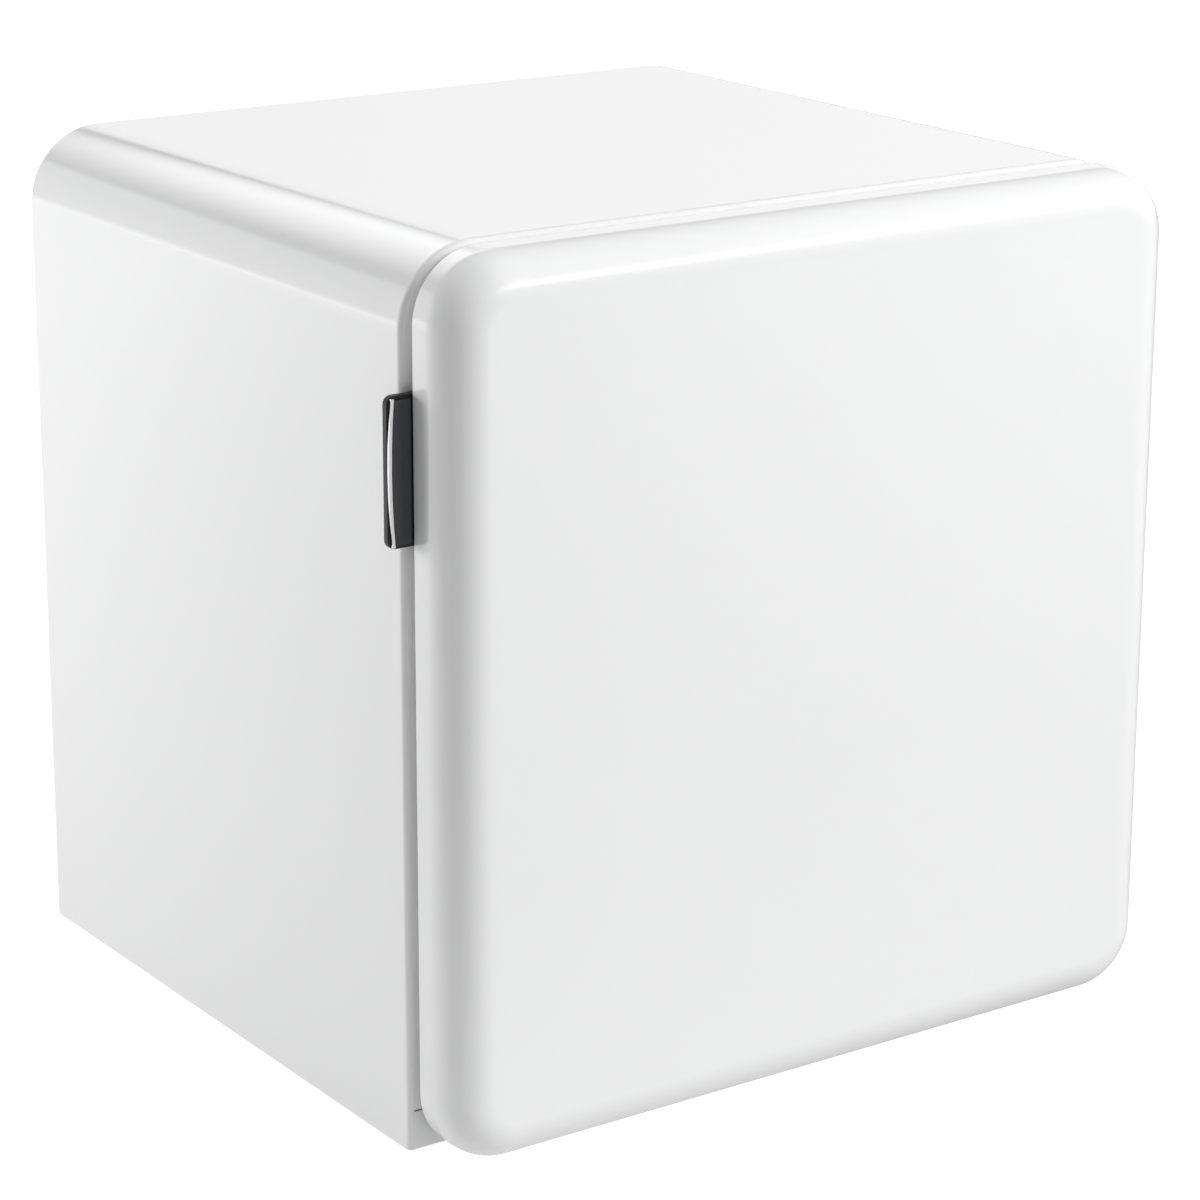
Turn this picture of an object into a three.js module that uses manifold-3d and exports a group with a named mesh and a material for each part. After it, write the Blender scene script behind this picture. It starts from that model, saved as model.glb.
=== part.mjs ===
// Table-top refrigerator of about 40 litres: a wrapped sheet-metal cabinet with round shoulders, a pillow
// door hinged on the right, an ice box inside and the cooling machinery at the back.
// Millimetres, +Z up, front towards -Y. The pieces are laid out from the middle of the cabinet's front
// plane at floor level, and the whole group is then moved so that its box stands centred on the origin.
import * as THREE from 'three';
import { mergeVertices } from 'three/addons/utils/BufferGeometryUtils.js';
import Module from 'manifold-3d';

const wasm = await Module();
wasm.setup();

// Cabinet
const cabinetWidth = 440;
const cabinetHeight = 442;
const cabinetDepth = 372;
const footHeight = 12;
const shoulderRadius = 40;
const sheet = 1;
const flangeWidth = 26;
const barHeight = 20.5;
const barDepth = 14;
const wallSide = 33;
const wallTop = 35;
const wallBottom = 45;
const wallRear = 38;
const bayMargin = 25;
const bayHeadroom = 23.4;
const bayInsulation = 26;
const linerWall = 1.8;
const linerLip = 14;
const linerCorner = 12;
const linerLapGap = 0.5;

// Clearances
const fitGap = 0.3;
const sheetGap = 0.4;
const seamGap = 0.8;
const holeGap = 1;
const cutOver = 5;

// Door
const doorSideInset = 2;
const doorTopInset = 0.8;
const doorBottomDrop = 2.5;
const doorGap = 6.5;
const doorSideWall = 11;
const doorFillet = 22;
const doorCorner = 35;
const pillowSpare = 40;
const linerEdgeInset = 1.5;
const dikeInset = 9;
const dikeWidth = 16;
const dikeDepth = 18;
const dikeInnerCorner = 5;
const gasketWidth = 13;
const gasketInset = 3;
const gasketCorner = 9;
const magnetWidth = 7;
const magnetThick = 2.5;
const magnetCover = 1;

// Door hinges
const hingeInset = 9;
const hingeAxisBack = 11.5;
const hingeFromEnd = 46;
const earThick = 3;
const earWidth = 10;
const earClearance = 1;
const hingePlateHeight = 34;
const hingePlateThick = 2;
const hingePlateInset = 1.5;
const hingeScrewInset = 8.5;
const pinRadius = 3;
const pinLength = 15;
const boreSpare = 1;
const bushSpare = 3.5;
const seatSpare = 4;
const slotSwing = 7;
const bushWall = 2.6;
const runningGap = 0.12;
const hingeScrewPitch = 22;
const screwRadius = 1.9;
const screwHeadRadius = 3.6;
const screwHeadDepth = 1.5;
const screwLength = 12;

// Handle
const handleReach = 13.3;
const handleTongue = 12;
const handleBottom = 304;
const handleHeight = 72;
const handleThick = 3.4;
const handleFaceThick = 1.2;
const handleCorner = 4;
const handleBow = 1.6;
const trimWidth = 1.7;
const handleRim = 1.1;
const handleFaceInset = 2;
const trimInset = 1;
const handleScrewInset = 15.84;

// Door racks
const rackDepth = 69;
const rackWall = 2.4;
const rackSideGap = 0.6;
const rackCorner = 8;
const lowerRackHeight = 60;
const upperRackHeight = 50;
const rackLift = 22;
const rackClear = 7;
const rackToDike = 4;
const lugAboveFloor = 12;
const lugBack = 1;
const lugHeight = 14;
const lugReach = 3;
const lugDepth = 8;

// Ice box, tray and shelf
const iceHeight = 92;
const iceSetBack = 140;
const iceSideGap = 20;
const iceToThermostat = 27.7;
const iceToBack = 6;
const iceBelowTop = 9;
const iceWall = 1.6;
const hangerHalf = 70;
const hangerDepth = 14;
const hangerToBack = 20;
const frameLip = 6;
const frameDrop = 2;
const frameCorner = 3;
const frameRim = 6;
const frameDepth = 9;
const flapThick = 6;
const flapGap = 1.5;
const flapPinRadius = 2.4;
const flapPinReach = 3;
const flapPinDrop = 1.5;
const flapGripHalf = 35;
const flapGripReach = 7;
const flapGripThick = 4;
const trayHeight = 18;
const trayWall = 2;
const trayRimDrop = 15;
const traySideGap = 8;
const trayRimGap = 2.5;
const trayToBack = 10;
const trayLead = 2;
const trayGripHalf = 45;
const trayGripReach = 6;
const trayGripThick = 3;
const railThick = 2;
const railFlange = 7;
const shelfAboveStep = 9;
const shelfToRack = 36.5;
const wireRadius = 1.7;
const shelfWires = 11;
const shelfSideGap = 3;
const shelfBackGap = 4;
const shelfCorner = 14;
const ribLead = 30;
const ribReach = 6;
const ribHeight = 5;

// Thermostat
const thermoWidth = 36;
const thermoDepth = 115;
const thermoHeight = 82;
const thermoFront = 120;
const thermoWall = 2;
const thermoChamfer = 6;
const thermoBelowTop = 7;
const controlWidth = 20;
const controlHeight = 32;
const controlDepth = 38;
const controlSetBack = 14;
const knobRadius = 14;
const knobDepth = 11;
const knobShaft = 3;
const knobGap = 0.8;

// Machinery
const baseToRear = 10;
const baseMargin = 12;
const compressorX = -50;
const compressorRadius = 50;
const compressorStretch = 1.2;
const compressorHeight = 104;
const seamBulge = 1.04;
const coverLift = 30;
const coverHeight = 54;
const coverHalf = 22;
const coverDepth = 24;
const coverCorner = 6;
const grommetRadius = 8;
const grommetHeight = 9;
const legOutside = 4;
const legInside = 12;
const legPlateHalf = 9;
const legPlateThick = 3;
const basePlate = 2;
const baseLip = 10;
const coilTube = 2.5;
const coilRuns = 11;
const coilSideGap = 34;
const coilBelowTop = 18;
const coilAboveBay = 34;
const coilStandOff = 18;
const coilWires = 5;
const coilWire = 1.6;
const panHeight = 16;
const panWall = 2;
const panHalfX = 66;
const panHalfY = 46;
const panCorner = 14;
const drainRadius = 4;
const spoutWall = 1.2;
const dryerRadius = 8;
const dryerLength = 70;
const glandRadius = 4;
const clampToSide = 100;
const clampToRear = 24;
const clampHalf = 12;
const clampHeight = 16;
const clampDepth = 14;
const clampCorner = 5;
const bracketHalf = 5;
const bracketInset = 26;
const bracketOverhang = 12;
const bracketPost = 8;
const wireOverhang = 8;
const wireInset = 12;

// Feet
const frontFootInset = 48;
const rearFootInset = 34;
const rearFootToBack = 42;
const footRadius = 15;
const studRadius = 4;
const studLength = 24;

// Levels and planes that follow
const floorZ = footHeight;
const topZ = footHeight + cabinetHeight;
const halfWidth = cabinetWidth / 2;
const cavityHalf = halfWidth - wallSide;
const cavityFloor = floorZ + wallBottom;
const cavityTop = topZ - wallTop;
const cavityBack = cabinetDepth - wallRear;
const legPitchX = 2 * (compressorRadius * compressorStretch + legOutside);
const legPitchY = 2 * (compressorRadius - legInside);
const basePlateDepth = legPitchY + 2 * baseMargin;
const basePlateFront = cabinetDepth - baseToRear - basePlateDepth;
const compressorY = basePlateFront + basePlateDepth / 2;
const legZ = floorZ + basePlate + fitGap + grommetHeight;
const canBottom = legZ + fitGap + legPlateThick + 1;
const panBottom = canBottom + compressorHeight + 1;
const bayFront = cabinetDepth - basePlateDepth - bayMargin;
const bayTop = panBottom + panHeight + bayHeadroom;
const stepFront = bayFront - bayInsulation;
const stepTop = bayTop + bayInsulation;
const lipFront = sheet + fitGap;
const lipShow = wallSide - flangeWidth;
const doorHalf = halfWidth - doorSideInset;
const doorBottom = floorZ - doorBottomDrop;
const doorTop = topZ - doorTopInset;
const doorRear = -doorGap;
const doorFront = doorRear - doorSideWall - doorFillet;
const linerPanelRear = doorRear - sheet - fitGap;
const linerPanelFront = linerPanelRear - linerWall;
const pinX = doorHalf - hingeInset;
const pinY = doorRear - hingeAxisBack;
const lowerEarZ = doorBottom + hingeFromEnd;
const upperEarZ = doorTop - hingeFromEnd;
const dikeHalf = cavityHalf - dikeInset;
const dikeBottom = cavityFloor + dikeInset;
const dikeTop = cavityTop - dikeInset;
const thermoX1 = cavityHalf - fitGap;
const thermoX0 = thermoX1 - thermoWidth;
const iceX0 = -cavityHalf + iceSideGap;
const iceX1 = thermoX0 - iceToThermostat + fitGap;
const iceTop = cavityTop - iceBelowTop;
const iceBottom = iceTop - iceHeight;
const iceBack = cavityBack - iceToBack;
const iceFront = iceSetBack;
const trayTop = iceBottom - trayRimDrop;
const rackBack = linerPanelRear + fitGap;
const shelfFront = rackBack + rackDepth + shelfToRack;
const lowerRackFloor = dikeBottom + dikeWidth + rackToDike;
const upperRackFloor = trayTop - trayHeight - rackClear - rackLift - upperRackHeight;
const coilHalf = halfWidth - coilSideGap;
const coilY = cabinetDepth + coilStandOff;
const coilBottom = bayTop + coilAboveBay;
const coilTop = topZ - coilBelowTop;
const coilPitch = (coilTop - coilBottom) / (coilRuns - 1);
const frontFootX = halfWidth - frontFootInset;
const frontFootY = frontFootInset;
const rearFootX = halfWidth - rearFootInset;
const rearFootY = cabinetDepth - rearFootToBack;

// Colours
const whitePaint = { color: 0xf4f4f3, roughness: 0.16, metalness: 0 };
const whitePlastic = { color: 0xf1f2f1, roughness: 0.32, metalness: 0 };
const clearPlastic = { color: 0xdfe8ea, roughness: 0.2, metalness: 0 };
const blackPlastic = { color: 0x101113, roughness: 0.42, metalness: 0 };
const slatePlastic = { color: 0x2f353a, roughness: 0.5, metalness: 0 };
const rubber = { color: 0x1a1a1a, roughness: 0.8, metalness: 0 };
const paleRubber = { color: 0xe9e9e6, roughness: 0.6, metalness: 0 };
const foamYellow = { color: 0xe6d9a8, roughness: 0.95, metalness: 0 };
const chrome = { color: 0xe4e6e8, roughness: 0.08, metalness: 1 };
const aluminium = { color: 0xc9ccce, roughness: 0.35, metalness: 1 };
const zincSteel = { color: 0xa9adb0, roughness: 0.4, metalness: 1 };
const blackPaint = { color: 0x141414, roughness: 0.35, metalness: 0.2 };
const copper = { color: 0xb8704a, roughness: 0.3, metalness: 1 };
const magnetBrown = { color: 0x3a322c, roughness: 0.7, metalness: 0 };

const fridge = new THREE.Group();

// ---- Solids: three.js shapes, joined and cut as closed bodies ----

function toSolid(geometry) {
  geometry.deleteAttribute('normal');
  geometry.deleteAttribute('uv');
  const welded = mergeVertices(geometry, 1e-4);
  const index = welded.index.array;
  const triangles = [];
  for (let i = 0; i < index.length; i += 3) {
    const [a, b, c] = [index[i], index[i + 1], index[i + 2]];
    if (a !== b && b !== c && c !== a) {
      triangles.push(a, b, c);
    }
  }
  return new wasm.Manifold(new wasm.Mesh({
    numProp: 3,
    vertProperties: new Float32Array(welded.attributes.position.array),
    triVerts: new Uint32Array(triangles),
  }));
}

function join(...bodies) {
  return bodies.reduce((whole, body) => whole.add(body));
}

function cut(body, ...tools) {
  return tools.reduce((left, tool) => left.subtract(tool), body);
}

function addPart(name, body, finish) {
  const solid = body.getMesh();
  const geometry = new THREE.BufferGeometry();
  geometry.setAttribute('position', new THREE.BufferAttribute(new Float32Array(solid.vertProperties), 3));
  geometry.setIndex(new THREE.BufferAttribute(new Uint32Array(solid.triVerts), 1));
  geometry.computeVertexNormals();
  const mesh = new THREE.Mesh(geometry, new THREE.MeshStandardMaterial(finish));
  mesh.name = name;
  fridge.add(mesh);
}

function box(x0, x1, y0, y1, z0, z1) {
  const geometry = new THREE.BoxGeometry(x1 - x0, y1 - y0, z1 - z0);
  geometry.translate((x0 + x1) / 2, (y0 + y1) / 2, (z0 + z1) / 2);
  return toSolid(geometry);
}

// A straight round bar from one point to another.
function rod(from, to, radius, sides = 12) {
  const start = new THREE.Vector3(...from);
  const span = new THREE.Vector3(...to).sub(start);
  const geometry = new THREE.CylinderGeometry(radius, radius, span.length(), sides);
  const upright = new THREE.Vector3(0, 1, 0);
  const turn = new THREE.Quaternion().setFromUnitVectors(upright, span.clone().normalize());
  geometry.applyQuaternion(turn);
  geometry.translate(start.x + span.x / 2, start.y + span.y / 2, start.z + span.z / 2);
  return toSolid(geometry);
}

// An outline in X and Z pushed along Y, one in Y and Z pushed along X, and one in X and Y pushed along Z.
function alongY(shape, y0, y1, curveSegments = 3) {
  const geometry = new THREE.ExtrudeGeometry(shape, { depth: y1 - y0, bevelEnabled: false, curveSegments });
  geometry.rotateX(Math.PI / 2);
  geometry.translate(0, y1, 0);
  return toSolid(geometry);
}

function alongX(shape, x0, x1, curveSegments = 3) {
  const geometry = new THREE.ExtrudeGeometry(shape, { depth: x1 - x0, bevelEnabled: false, curveSegments });
  geometry.rotateX(Math.PI / 2);
  geometry.rotateZ(Math.PI / 2);
  geometry.translate(x0, 0, 0);
  return toSolid(geometry);
}

function alongZ(shape, z0, z1, curveSegments = 3) {
  const geometry = new THREE.ExtrudeGeometry(shape, { depth: z1 - z0, bevelEnabled: false, curveSegments });
  geometry.translate(0, 0, z0);
  return toSolid(geometry);
}

// A bent pipe through a few points.
function pipe(points, radius, sides = 8, steps = 18) {
  const stations = points.map((point) => new THREE.Vector3(...point));
  const path = new THREE.CatmullRomCurve3(stations, false, 'centripetal');
  const section = new THREE.Shape();
  section.absarc(0, 0, radius, 0, 2 * Math.PI);
  const geometry = new THREE.ExtrudeGeometry(section, {
    steps, extrudePath: path, curveSegments: sides / 2, bevelEnabled: false,
  });
  return toSolid(geometry);
}

function polygon(points) {
  return new THREE.Shape(points.map(([a, b]) => new THREE.Vector2(a, b)));
}

function roundedRect(x0, x1, z0, z1, radius) {
  const shape = new THREE.Shape();
  shape.moveTo(x0 + radius, z0);
  shape.lineTo(x1 - radius, z0);
  shape.absarc(x1 - radius, z0 + radius, radius, -Math.PI / 2, 0);
  shape.lineTo(x1, z1 - radius);
  shape.absarc(x1 - radius, z1 - radius, radius, 0, Math.PI / 2);
  shape.lineTo(x0 + radius, z1);
  shape.absarc(x0 + radius, z1 - radius, radius, Math.PI / 2, Math.PI);
  shape.lineTo(x0, z0 + radius);
  shape.absarc(x0 + radius, z0 + radius, radius, Math.PI, 1.5 * Math.PI);
  return shape;
}

// The cabinet's outline: square at the bottom, round at the two shoulders.
function archShape(half, bottom, top, radius) {
  const shape = new THREE.Shape();
  shape.moveTo(-half, bottom);
  shape.lineTo(half, bottom);
  shape.lineTo(half, top - radius);
  shape.absarc(half - radius, top - radius, radius, 0, Math.PI / 2);
  shape.lineTo(-half + radius, top);
  shape.absarc(-half + radius, top - radius, radius, Math.PI / 2, Math.PI);
  shape.closePath();
  return shape;
}

// ---- Cabinet ----

function archSolid(inset, y0, y1, bottom = floorZ) {
  return alongY(archShape(halfWidth - inset, bottom, topZ - inset, shoulderRadius - inset), y0, y1, 4);
}

function makeCabinetShell() {
  const wrap = archSolid(0, 0, cabinetDepth);
  const inside = archSolid(sheet, sheet, cabinetDepth + cutOver, floorZ - cutOver);
  const mouth = alongY(roundedRect(
    -cavityHalf - lipShow, cavityHalf + lipShow, cavityFloor - lipShow, cavityTop + lipShow, linerCorner,
  ), -cutOver, cutOver);
  const barPlace = box(-halfWidth + sheet, halfWidth - sheet, -cutOver, cutOver, 0, floorZ + barHeight);
  addPart('cabinet_shell', cut(wrap, inside, mouth, barPlace, ...hingeScrewHoles(fitGap)), whitePaint);
}

function makeFrontBar() {
  const end = halfWidth - sheet - sheetGap;
  const barTop = floorZ + barHeight - seamGap;
  const channel = polygon([
    [0, floorZ], [barDepth, floorZ], [barDepth, floorZ + sheet], [sheet, floorZ + sheet],
    [sheet, barTop - sheet], [barDepth, barTop - sheet], [barDepth, barTop], [0, barTop],
  ]);
  addPart('front_bottom_bar', alongX(channel, -end, end), whitePaint);
}

function footHoles(radius, depth) {
  const reach = floorZ + depth;
  return [-frontFootX, frontFootX].map((x) => rod([x, frontFootY, 0], [x, frontFootY, reach], radius));
}

function drainHole(gap) {
  return rod([compressorX, compressorY, 0], [compressorX, compressorY, stepTop + cutOver], drainRadius + gap);
}

function makeBottomPlate() {
  const front = barDepth + sheetGap;
  const rear = cabinetDepth - 2 * sheet - sheetGap;
  const end = halfWidth - sheet - sheetGap;
  const stepProfile = polygon([
    [front, floorZ], [bayFront, floorZ], [bayFront, bayTop], [rear, bayTop],
    [rear, bayTop + sheet], [bayFront - sheet, bayTop + sheet], [bayFront - sheet, floorZ + sheet],
    [front, floorZ + sheet],
  ]);
  const plate = alongX(stepProfile, -end, end);
  const studs = footHoles(studRadius + sheetGap, sheet + 1);
  addPart('bottom_plate', cut(plate, ...studs, drainHole(holeGap)), zincSteel);
}

function makeRearPanel() {
  const rear = cabinetDepth - sheet;
  const panel = archSolid(sheet + sheetGap, rear - sheet, rear, bayTop);
  addPart('rear_panel', panel, whitePaint);
}

// The cavity's block, grown or shrunk by an offset, with the step over the machinery taken out.
function cavityBlock(offset, front) {
  const x = cavityHalf + offset;
  const y = cavityBack + offset;
  const corner = linerCorner + offset;
  const plan = new THREE.Shape();
  plan.moveTo(-x, front);
  plan.lineTo(x, front);
  plan.lineTo(x, y - corner);
  plan.absarc(x - corner, y - corner, corner, 0, Math.PI / 2);
  plan.lineTo(-x + corner, y);
  plan.absarc(-x + corner, y - corner, corner, Math.PI / 2, Math.PI);
  plan.closePath();
  const block = alongZ(plan, cavityFloor - offset, cavityTop + offset, 2);
  const step = box(-halfWidth, halfWidth, stepFront + offset, cabinetDepth, 0, stepTop - offset);
  return cut(block, step);
}

function shelfRib(side) {
  const wall = side * (cavityHalf + linerWall / 2);
  const tip = side * (cavityHalf - ribReach);
  const top = stepTop + shelfAboveStep - fitGap;
  return box(
    Math.min(wall, tip), Math.max(wall, tip), shelfFront - ribLead, cavityBack - linerCorner,
    top - ribHeight, top,
  );
}

function makeInnerLiner() {
  const lipOutline = roundedRect(
    -cavityHalf - linerLip, cavityHalf + linerLip, cavityFloor - linerLip, cavityTop + linerLip, linerCorner,
  );
  const lip = alongY(lipOutline, lipFront, lipFront + linerWall);
  const skin = join(cavityBlock(linerWall, lipFront), lip);
  const liner = join(cut(skin, cavityBlock(0, -cutOver)), shelfRib(-1), shelfRib(1));
  addPart('inner_liner', cut(liner, drainHole(holeGap)), whitePlastic);
}

function makeCabinetFoam() {
  const inset = sheet + fitGap;
  const rear = cabinetDepth - 2 * sheet - fitGap;
  const block = archSolid(inset, lipFront, rear, floorZ + sheet + fitGap);
  const bay = box(-halfWidth, halfWidth, bayFront - sheet - fitGap, cabinetDepth, 0, bayTop + sheet + fitGap);
  const bar = box(-halfWidth, halfWidth, 0, barDepth + sheetGap, 0, floorZ + barHeight);
  const lipOutline = roundedRect(
    -cavityHalf - linerLip - fitGap, cavityHalf + linerLip + fitGap,
    cavityFloor - linerLip - fitGap, cavityTop + linerLip + fitGap, linerCorner,
  );
  const lip = alongY(lipOutline, 0, lipFront + linerWall + fitGap);
  const cavity = cavityBlock(linerWall + fitGap, -cutOver);
  const studs = footHoles(studRadius + holeGap, studLength);
  const holes = [drainHole(holeGap), ...studs, ...hingeScrewHoles(holeGap)];
  addPart('cabinet_foam', cut(block, bay, bar, lip, cavity, ...holes), foamYellow);
}

// ---- Ice box, tray, shelf and thermostat ----

const frameFront = iceFront - frameDepth - fitGap;
const flapPivotY = frameFront + flapThick / 2 + 1;
const flapX0 = iceX0 + frameRim + flapGap;
const flapX1 = iceX1 - frameRim - flapGap;
const flapTop = iceTop - frameRim;
const flapPivotZ = flapTop - flapThick / 2 - flapPinDrop;
const flapBottom = iceBottom + frameRim;
const trayX0 = iceX0 + traySideGap;
const trayX1 = iceX1 - traySideGap;
const trayFront = iceFront - trayLead;
const trayBack = iceBack - trayToBack;

function makeEvaporator() {
  const outer = box(iceX0, iceX1, iceFront, iceBack, iceBottom, iceTop);
  const inner = box(
    iceX0 + iceWall, iceX1 - iceWall, iceFront - cutOver, iceBack - iceWall,
    iceBottom + iceWall, iceTop - iceWall,
  );
  addPart('evaporator', cut(outer, inner), aluminium);
}

function makeEvaporatorHanger() {
  const middle = (iceX0 + iceX1) / 2;
  const rear = iceBack - hangerToBack;
  const hanger = box(
    middle - hangerHalf, middle + hangerHalf, rear - hangerDepth, rear, iceTop + fitGap, cavityTop - fitGap,
  );
  addPart('evaporator_hanger', hanger, whitePlastic);
}

function makeIceBoxFrame() {
  const outer = alongY(
    roundedRect(iceX0 - frameLip, iceX1 + frameLip, iceBottom - frameDrop, cavityTop - fitGap, frameCorner),
    frameFront, frameFront + frameDepth, 2,
  );
  const hole = box(
    iceX0 + frameRim, iceX1 - frameRim, frameFront - cutOver, iceFront,
    iceBottom + frameRim - flapGap, flapTop + flapGap,
  );
  const pivots = rod(
    [flapX0 - flapGap - flapPinReach - fitGap, flapPivotY, flapPivotZ],
    [flapX1 + flapGap + flapPinReach + fitGap, flapPivotY, flapPivotZ], flapPinRadius + fitGap, 16,
  );
  addPart('ice_box_frame', cut(outer, hole, pivots), whitePlastic);
}

function makeFreezerFlap() {
  const front = flapPivotY - flapThick / 2;
  const radius = flapThick / 2;
  const section = new THREE.Shape();
  section.moveTo(front, flapBottom);
  section.lineTo(front + flapThick, flapBottom);
  section.lineTo(front + flapThick, flapPivotZ);
  section.absarc(flapPivotY, flapPivotZ, radius, 0, Math.PI);
  section.closePath();
  const panel = alongX(section, flapX0, flapX1, 4);
  const pins = rod(
    [flapX0 - flapGap - flapPinReach, flapPivotY, flapPivotZ],
    [flapX1 + flapGap + flapPinReach, flapPivotY, flapPivotZ], flapPinRadius, 16,
  );
  const middle = (flapX0 + flapX1) / 2;
  const gripLow = flapBottom + 2;
  const lip = box(
    middle - flapGripHalf, middle + flapGripHalf, front - flapGripReach, front + 1,
    gripLow, gripLow + flapGripThick,
  );
  addPart('freezer_flap', join(panel, pins, lip), clearPlastic);
}

function makeTrayRails() {
  const hangZ = iceBottom - fitGap;
  const lipTop = trayTop - trayWall - fitGap;
  for (const [name, x, side] of [['tray_rail_left', iceX0, 1], ['tray_rail_right', iceX1, -1]]) {
    const web = x + side * railThick;
    const flange = x + side * railFlange;
    const section = polygon([
      [x, lipTop - railThick], [flange, lipTop - railThick], [flange, lipTop], [web, lipTop],
      [web, hangZ - railThick], [flange, hangZ - railThick], [flange, hangZ], [x, hangZ],
    ]);
    addPart(name, alongY(section, iceFront + 1, trayBack), whitePlastic);
  }
}

function makeDripTray() {
  const rim = box(iceX0 + trayRimGap, iceX1 - trayRimGap, trayFront, trayBack, trayTop - trayWall, trayTop);
  const body = box(trayX0, trayX1, trayFront, trayBack, trayTop - trayHeight, trayTop);
  const hollow = box(
    trayX0 + trayWall, trayX1 - trayWall, trayFront + trayWall, trayBack - trayWall,
    trayTop - trayHeight + trayWall, trayTop + cutOver,
  );
  const middle = (trayX0 + trayX1) / 2;
  const grip = box(
    middle - trayGripHalf, middle + trayGripHalf, trayFront - trayGripReach, trayFront + 1,
    trayTop - trayGripThick, trayTop,
  );
  addPart('drip_tray', cut(join(rim, body, grip), hollow), clearPlastic);
}

function makeShelf() {
  const half = cavityHalf - shelfSideGap;
  const level = stepTop + shelfAboveStep + wireRadius;
  const upper = level + 1.6 * wireRadius;
  const back = cavityBack - shelfBackGap;
  const corner = shelfCorner;
  const frontY = shelfFront + wireRadius;
  const rodAt = (from, to) => rod(from, to, wireRadius, 6);
  const pieces = [
    rodAt([-half, frontY + corner, level], [-half, back - corner, level]),
    rodAt([half, frontY + corner, level], [half, back - corner, level]),
    rodAt([-half + corner, frontY, level], [half - corner, frontY, level]),
    rodAt([-half + corner, back, level], [half - corner, back, level]),
  ];
  for (const [sx, sy] of [[-1, -1], [1, -1], [-1, 1], [1, 1]]) {
    const y = sy < 0 ? frontY : back;
    pieces.push(rodAt([sx * (half - corner - 1), y, level], [sx * half, y - sy * (corner + 1), level]));
  }
  pieces.push(rodAt([-half + 1, (frontY + back) / 2, level], [half - 1, (frontY + back) / 2, level]));
  const step = (2 * half - 2 * corner) / (shelfWires - 1);
  for (let i = 0; i < shelfWires; i += 1) {
    const x = -half + corner + i * step;
    pieces.push(rodAt([x, frontY - 1, upper], [x, back + 1, upper]));
  }
  addPart('shelf', join(...pieces), whitePlastic);
}

const thermoTop = cavityTop - thermoBelowTop;
const thermoBottom = thermoTop - thermoHeight;
const knobX = (thermoX0 + thermoX1) / 2;
const knobZ = (thermoTop + thermoBottom) / 2;

function makeThermostat() {
  const back = thermoFront + thermoDepth;
  const innerX = thermoX0 + thermoChamfer;
  const outer = alongZ(polygon([
    [innerX, thermoFront], [thermoX1, thermoFront], [thermoX1, back], [innerX, back],
    [thermoX0, back - thermoChamfer], [thermoX0, thermoFront + thermoChamfer],
  ]), thermoBottom, thermoTop);
  const hollow = box(
    innerX, thermoX1 + cutOver, thermoFront + thermoWall, back - thermoWall,
    thermoBottom + thermoWall, thermoTop - thermoWall,
  );
  const shaftHole = rod(
    [knobX, thermoFront - 1, knobZ], [knobX, thermoFront + thermoWall + 1, knobZ], knobShaft + sheetGap, 16,
  );
  addPart('thermostat_housing', cut(outer, hollow, shaftHole), whitePlastic);
  const controlFront = thermoFront + controlSetBack;
  const control = box(
    knobX - controlWidth / 2 + 1, knobX + controlWidth / 2 + 1, controlFront, controlFront + controlDepth,
    knobZ - controlHeight / 2, knobZ + controlHeight / 2,
  );
  addPart('thermostat_control', control, zincSteel);
  const bar = (y0, y1, radius, sides) => rod([knobX, y0, knobZ], [knobX, y1, knobZ], radius, sides);
  const shaft = bar(thermoFront - knobDepth / 2, controlFront - 1, knobShaft, 16);
  const dial = bar(thermoFront - knobDepth, thermoFront - knobGap, knobRadius, 24);
  addPart('thermostat_knob', join(shaft, dial), whitePlastic);
}

// ---- Door hinges: one bracket near each end, its ear and pin hidden in the door ----

function hingeScrewPlaces(earZ) {
  return [-1, 1].map((side) => [halfWidth - hingeScrewInset, earZ + side * hingeScrewPitch / 2]);
}

function hingeScrewHoles(gap) {
  const places = [lowerEarZ, upperEarZ].flatMap((earZ) => hingeScrewPlaces(earZ));
  return places.map(([x, z]) => rod([x, -cutOver, z], [x, screwLength + 1, z], screwRadius + gap, 12));
}

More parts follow.
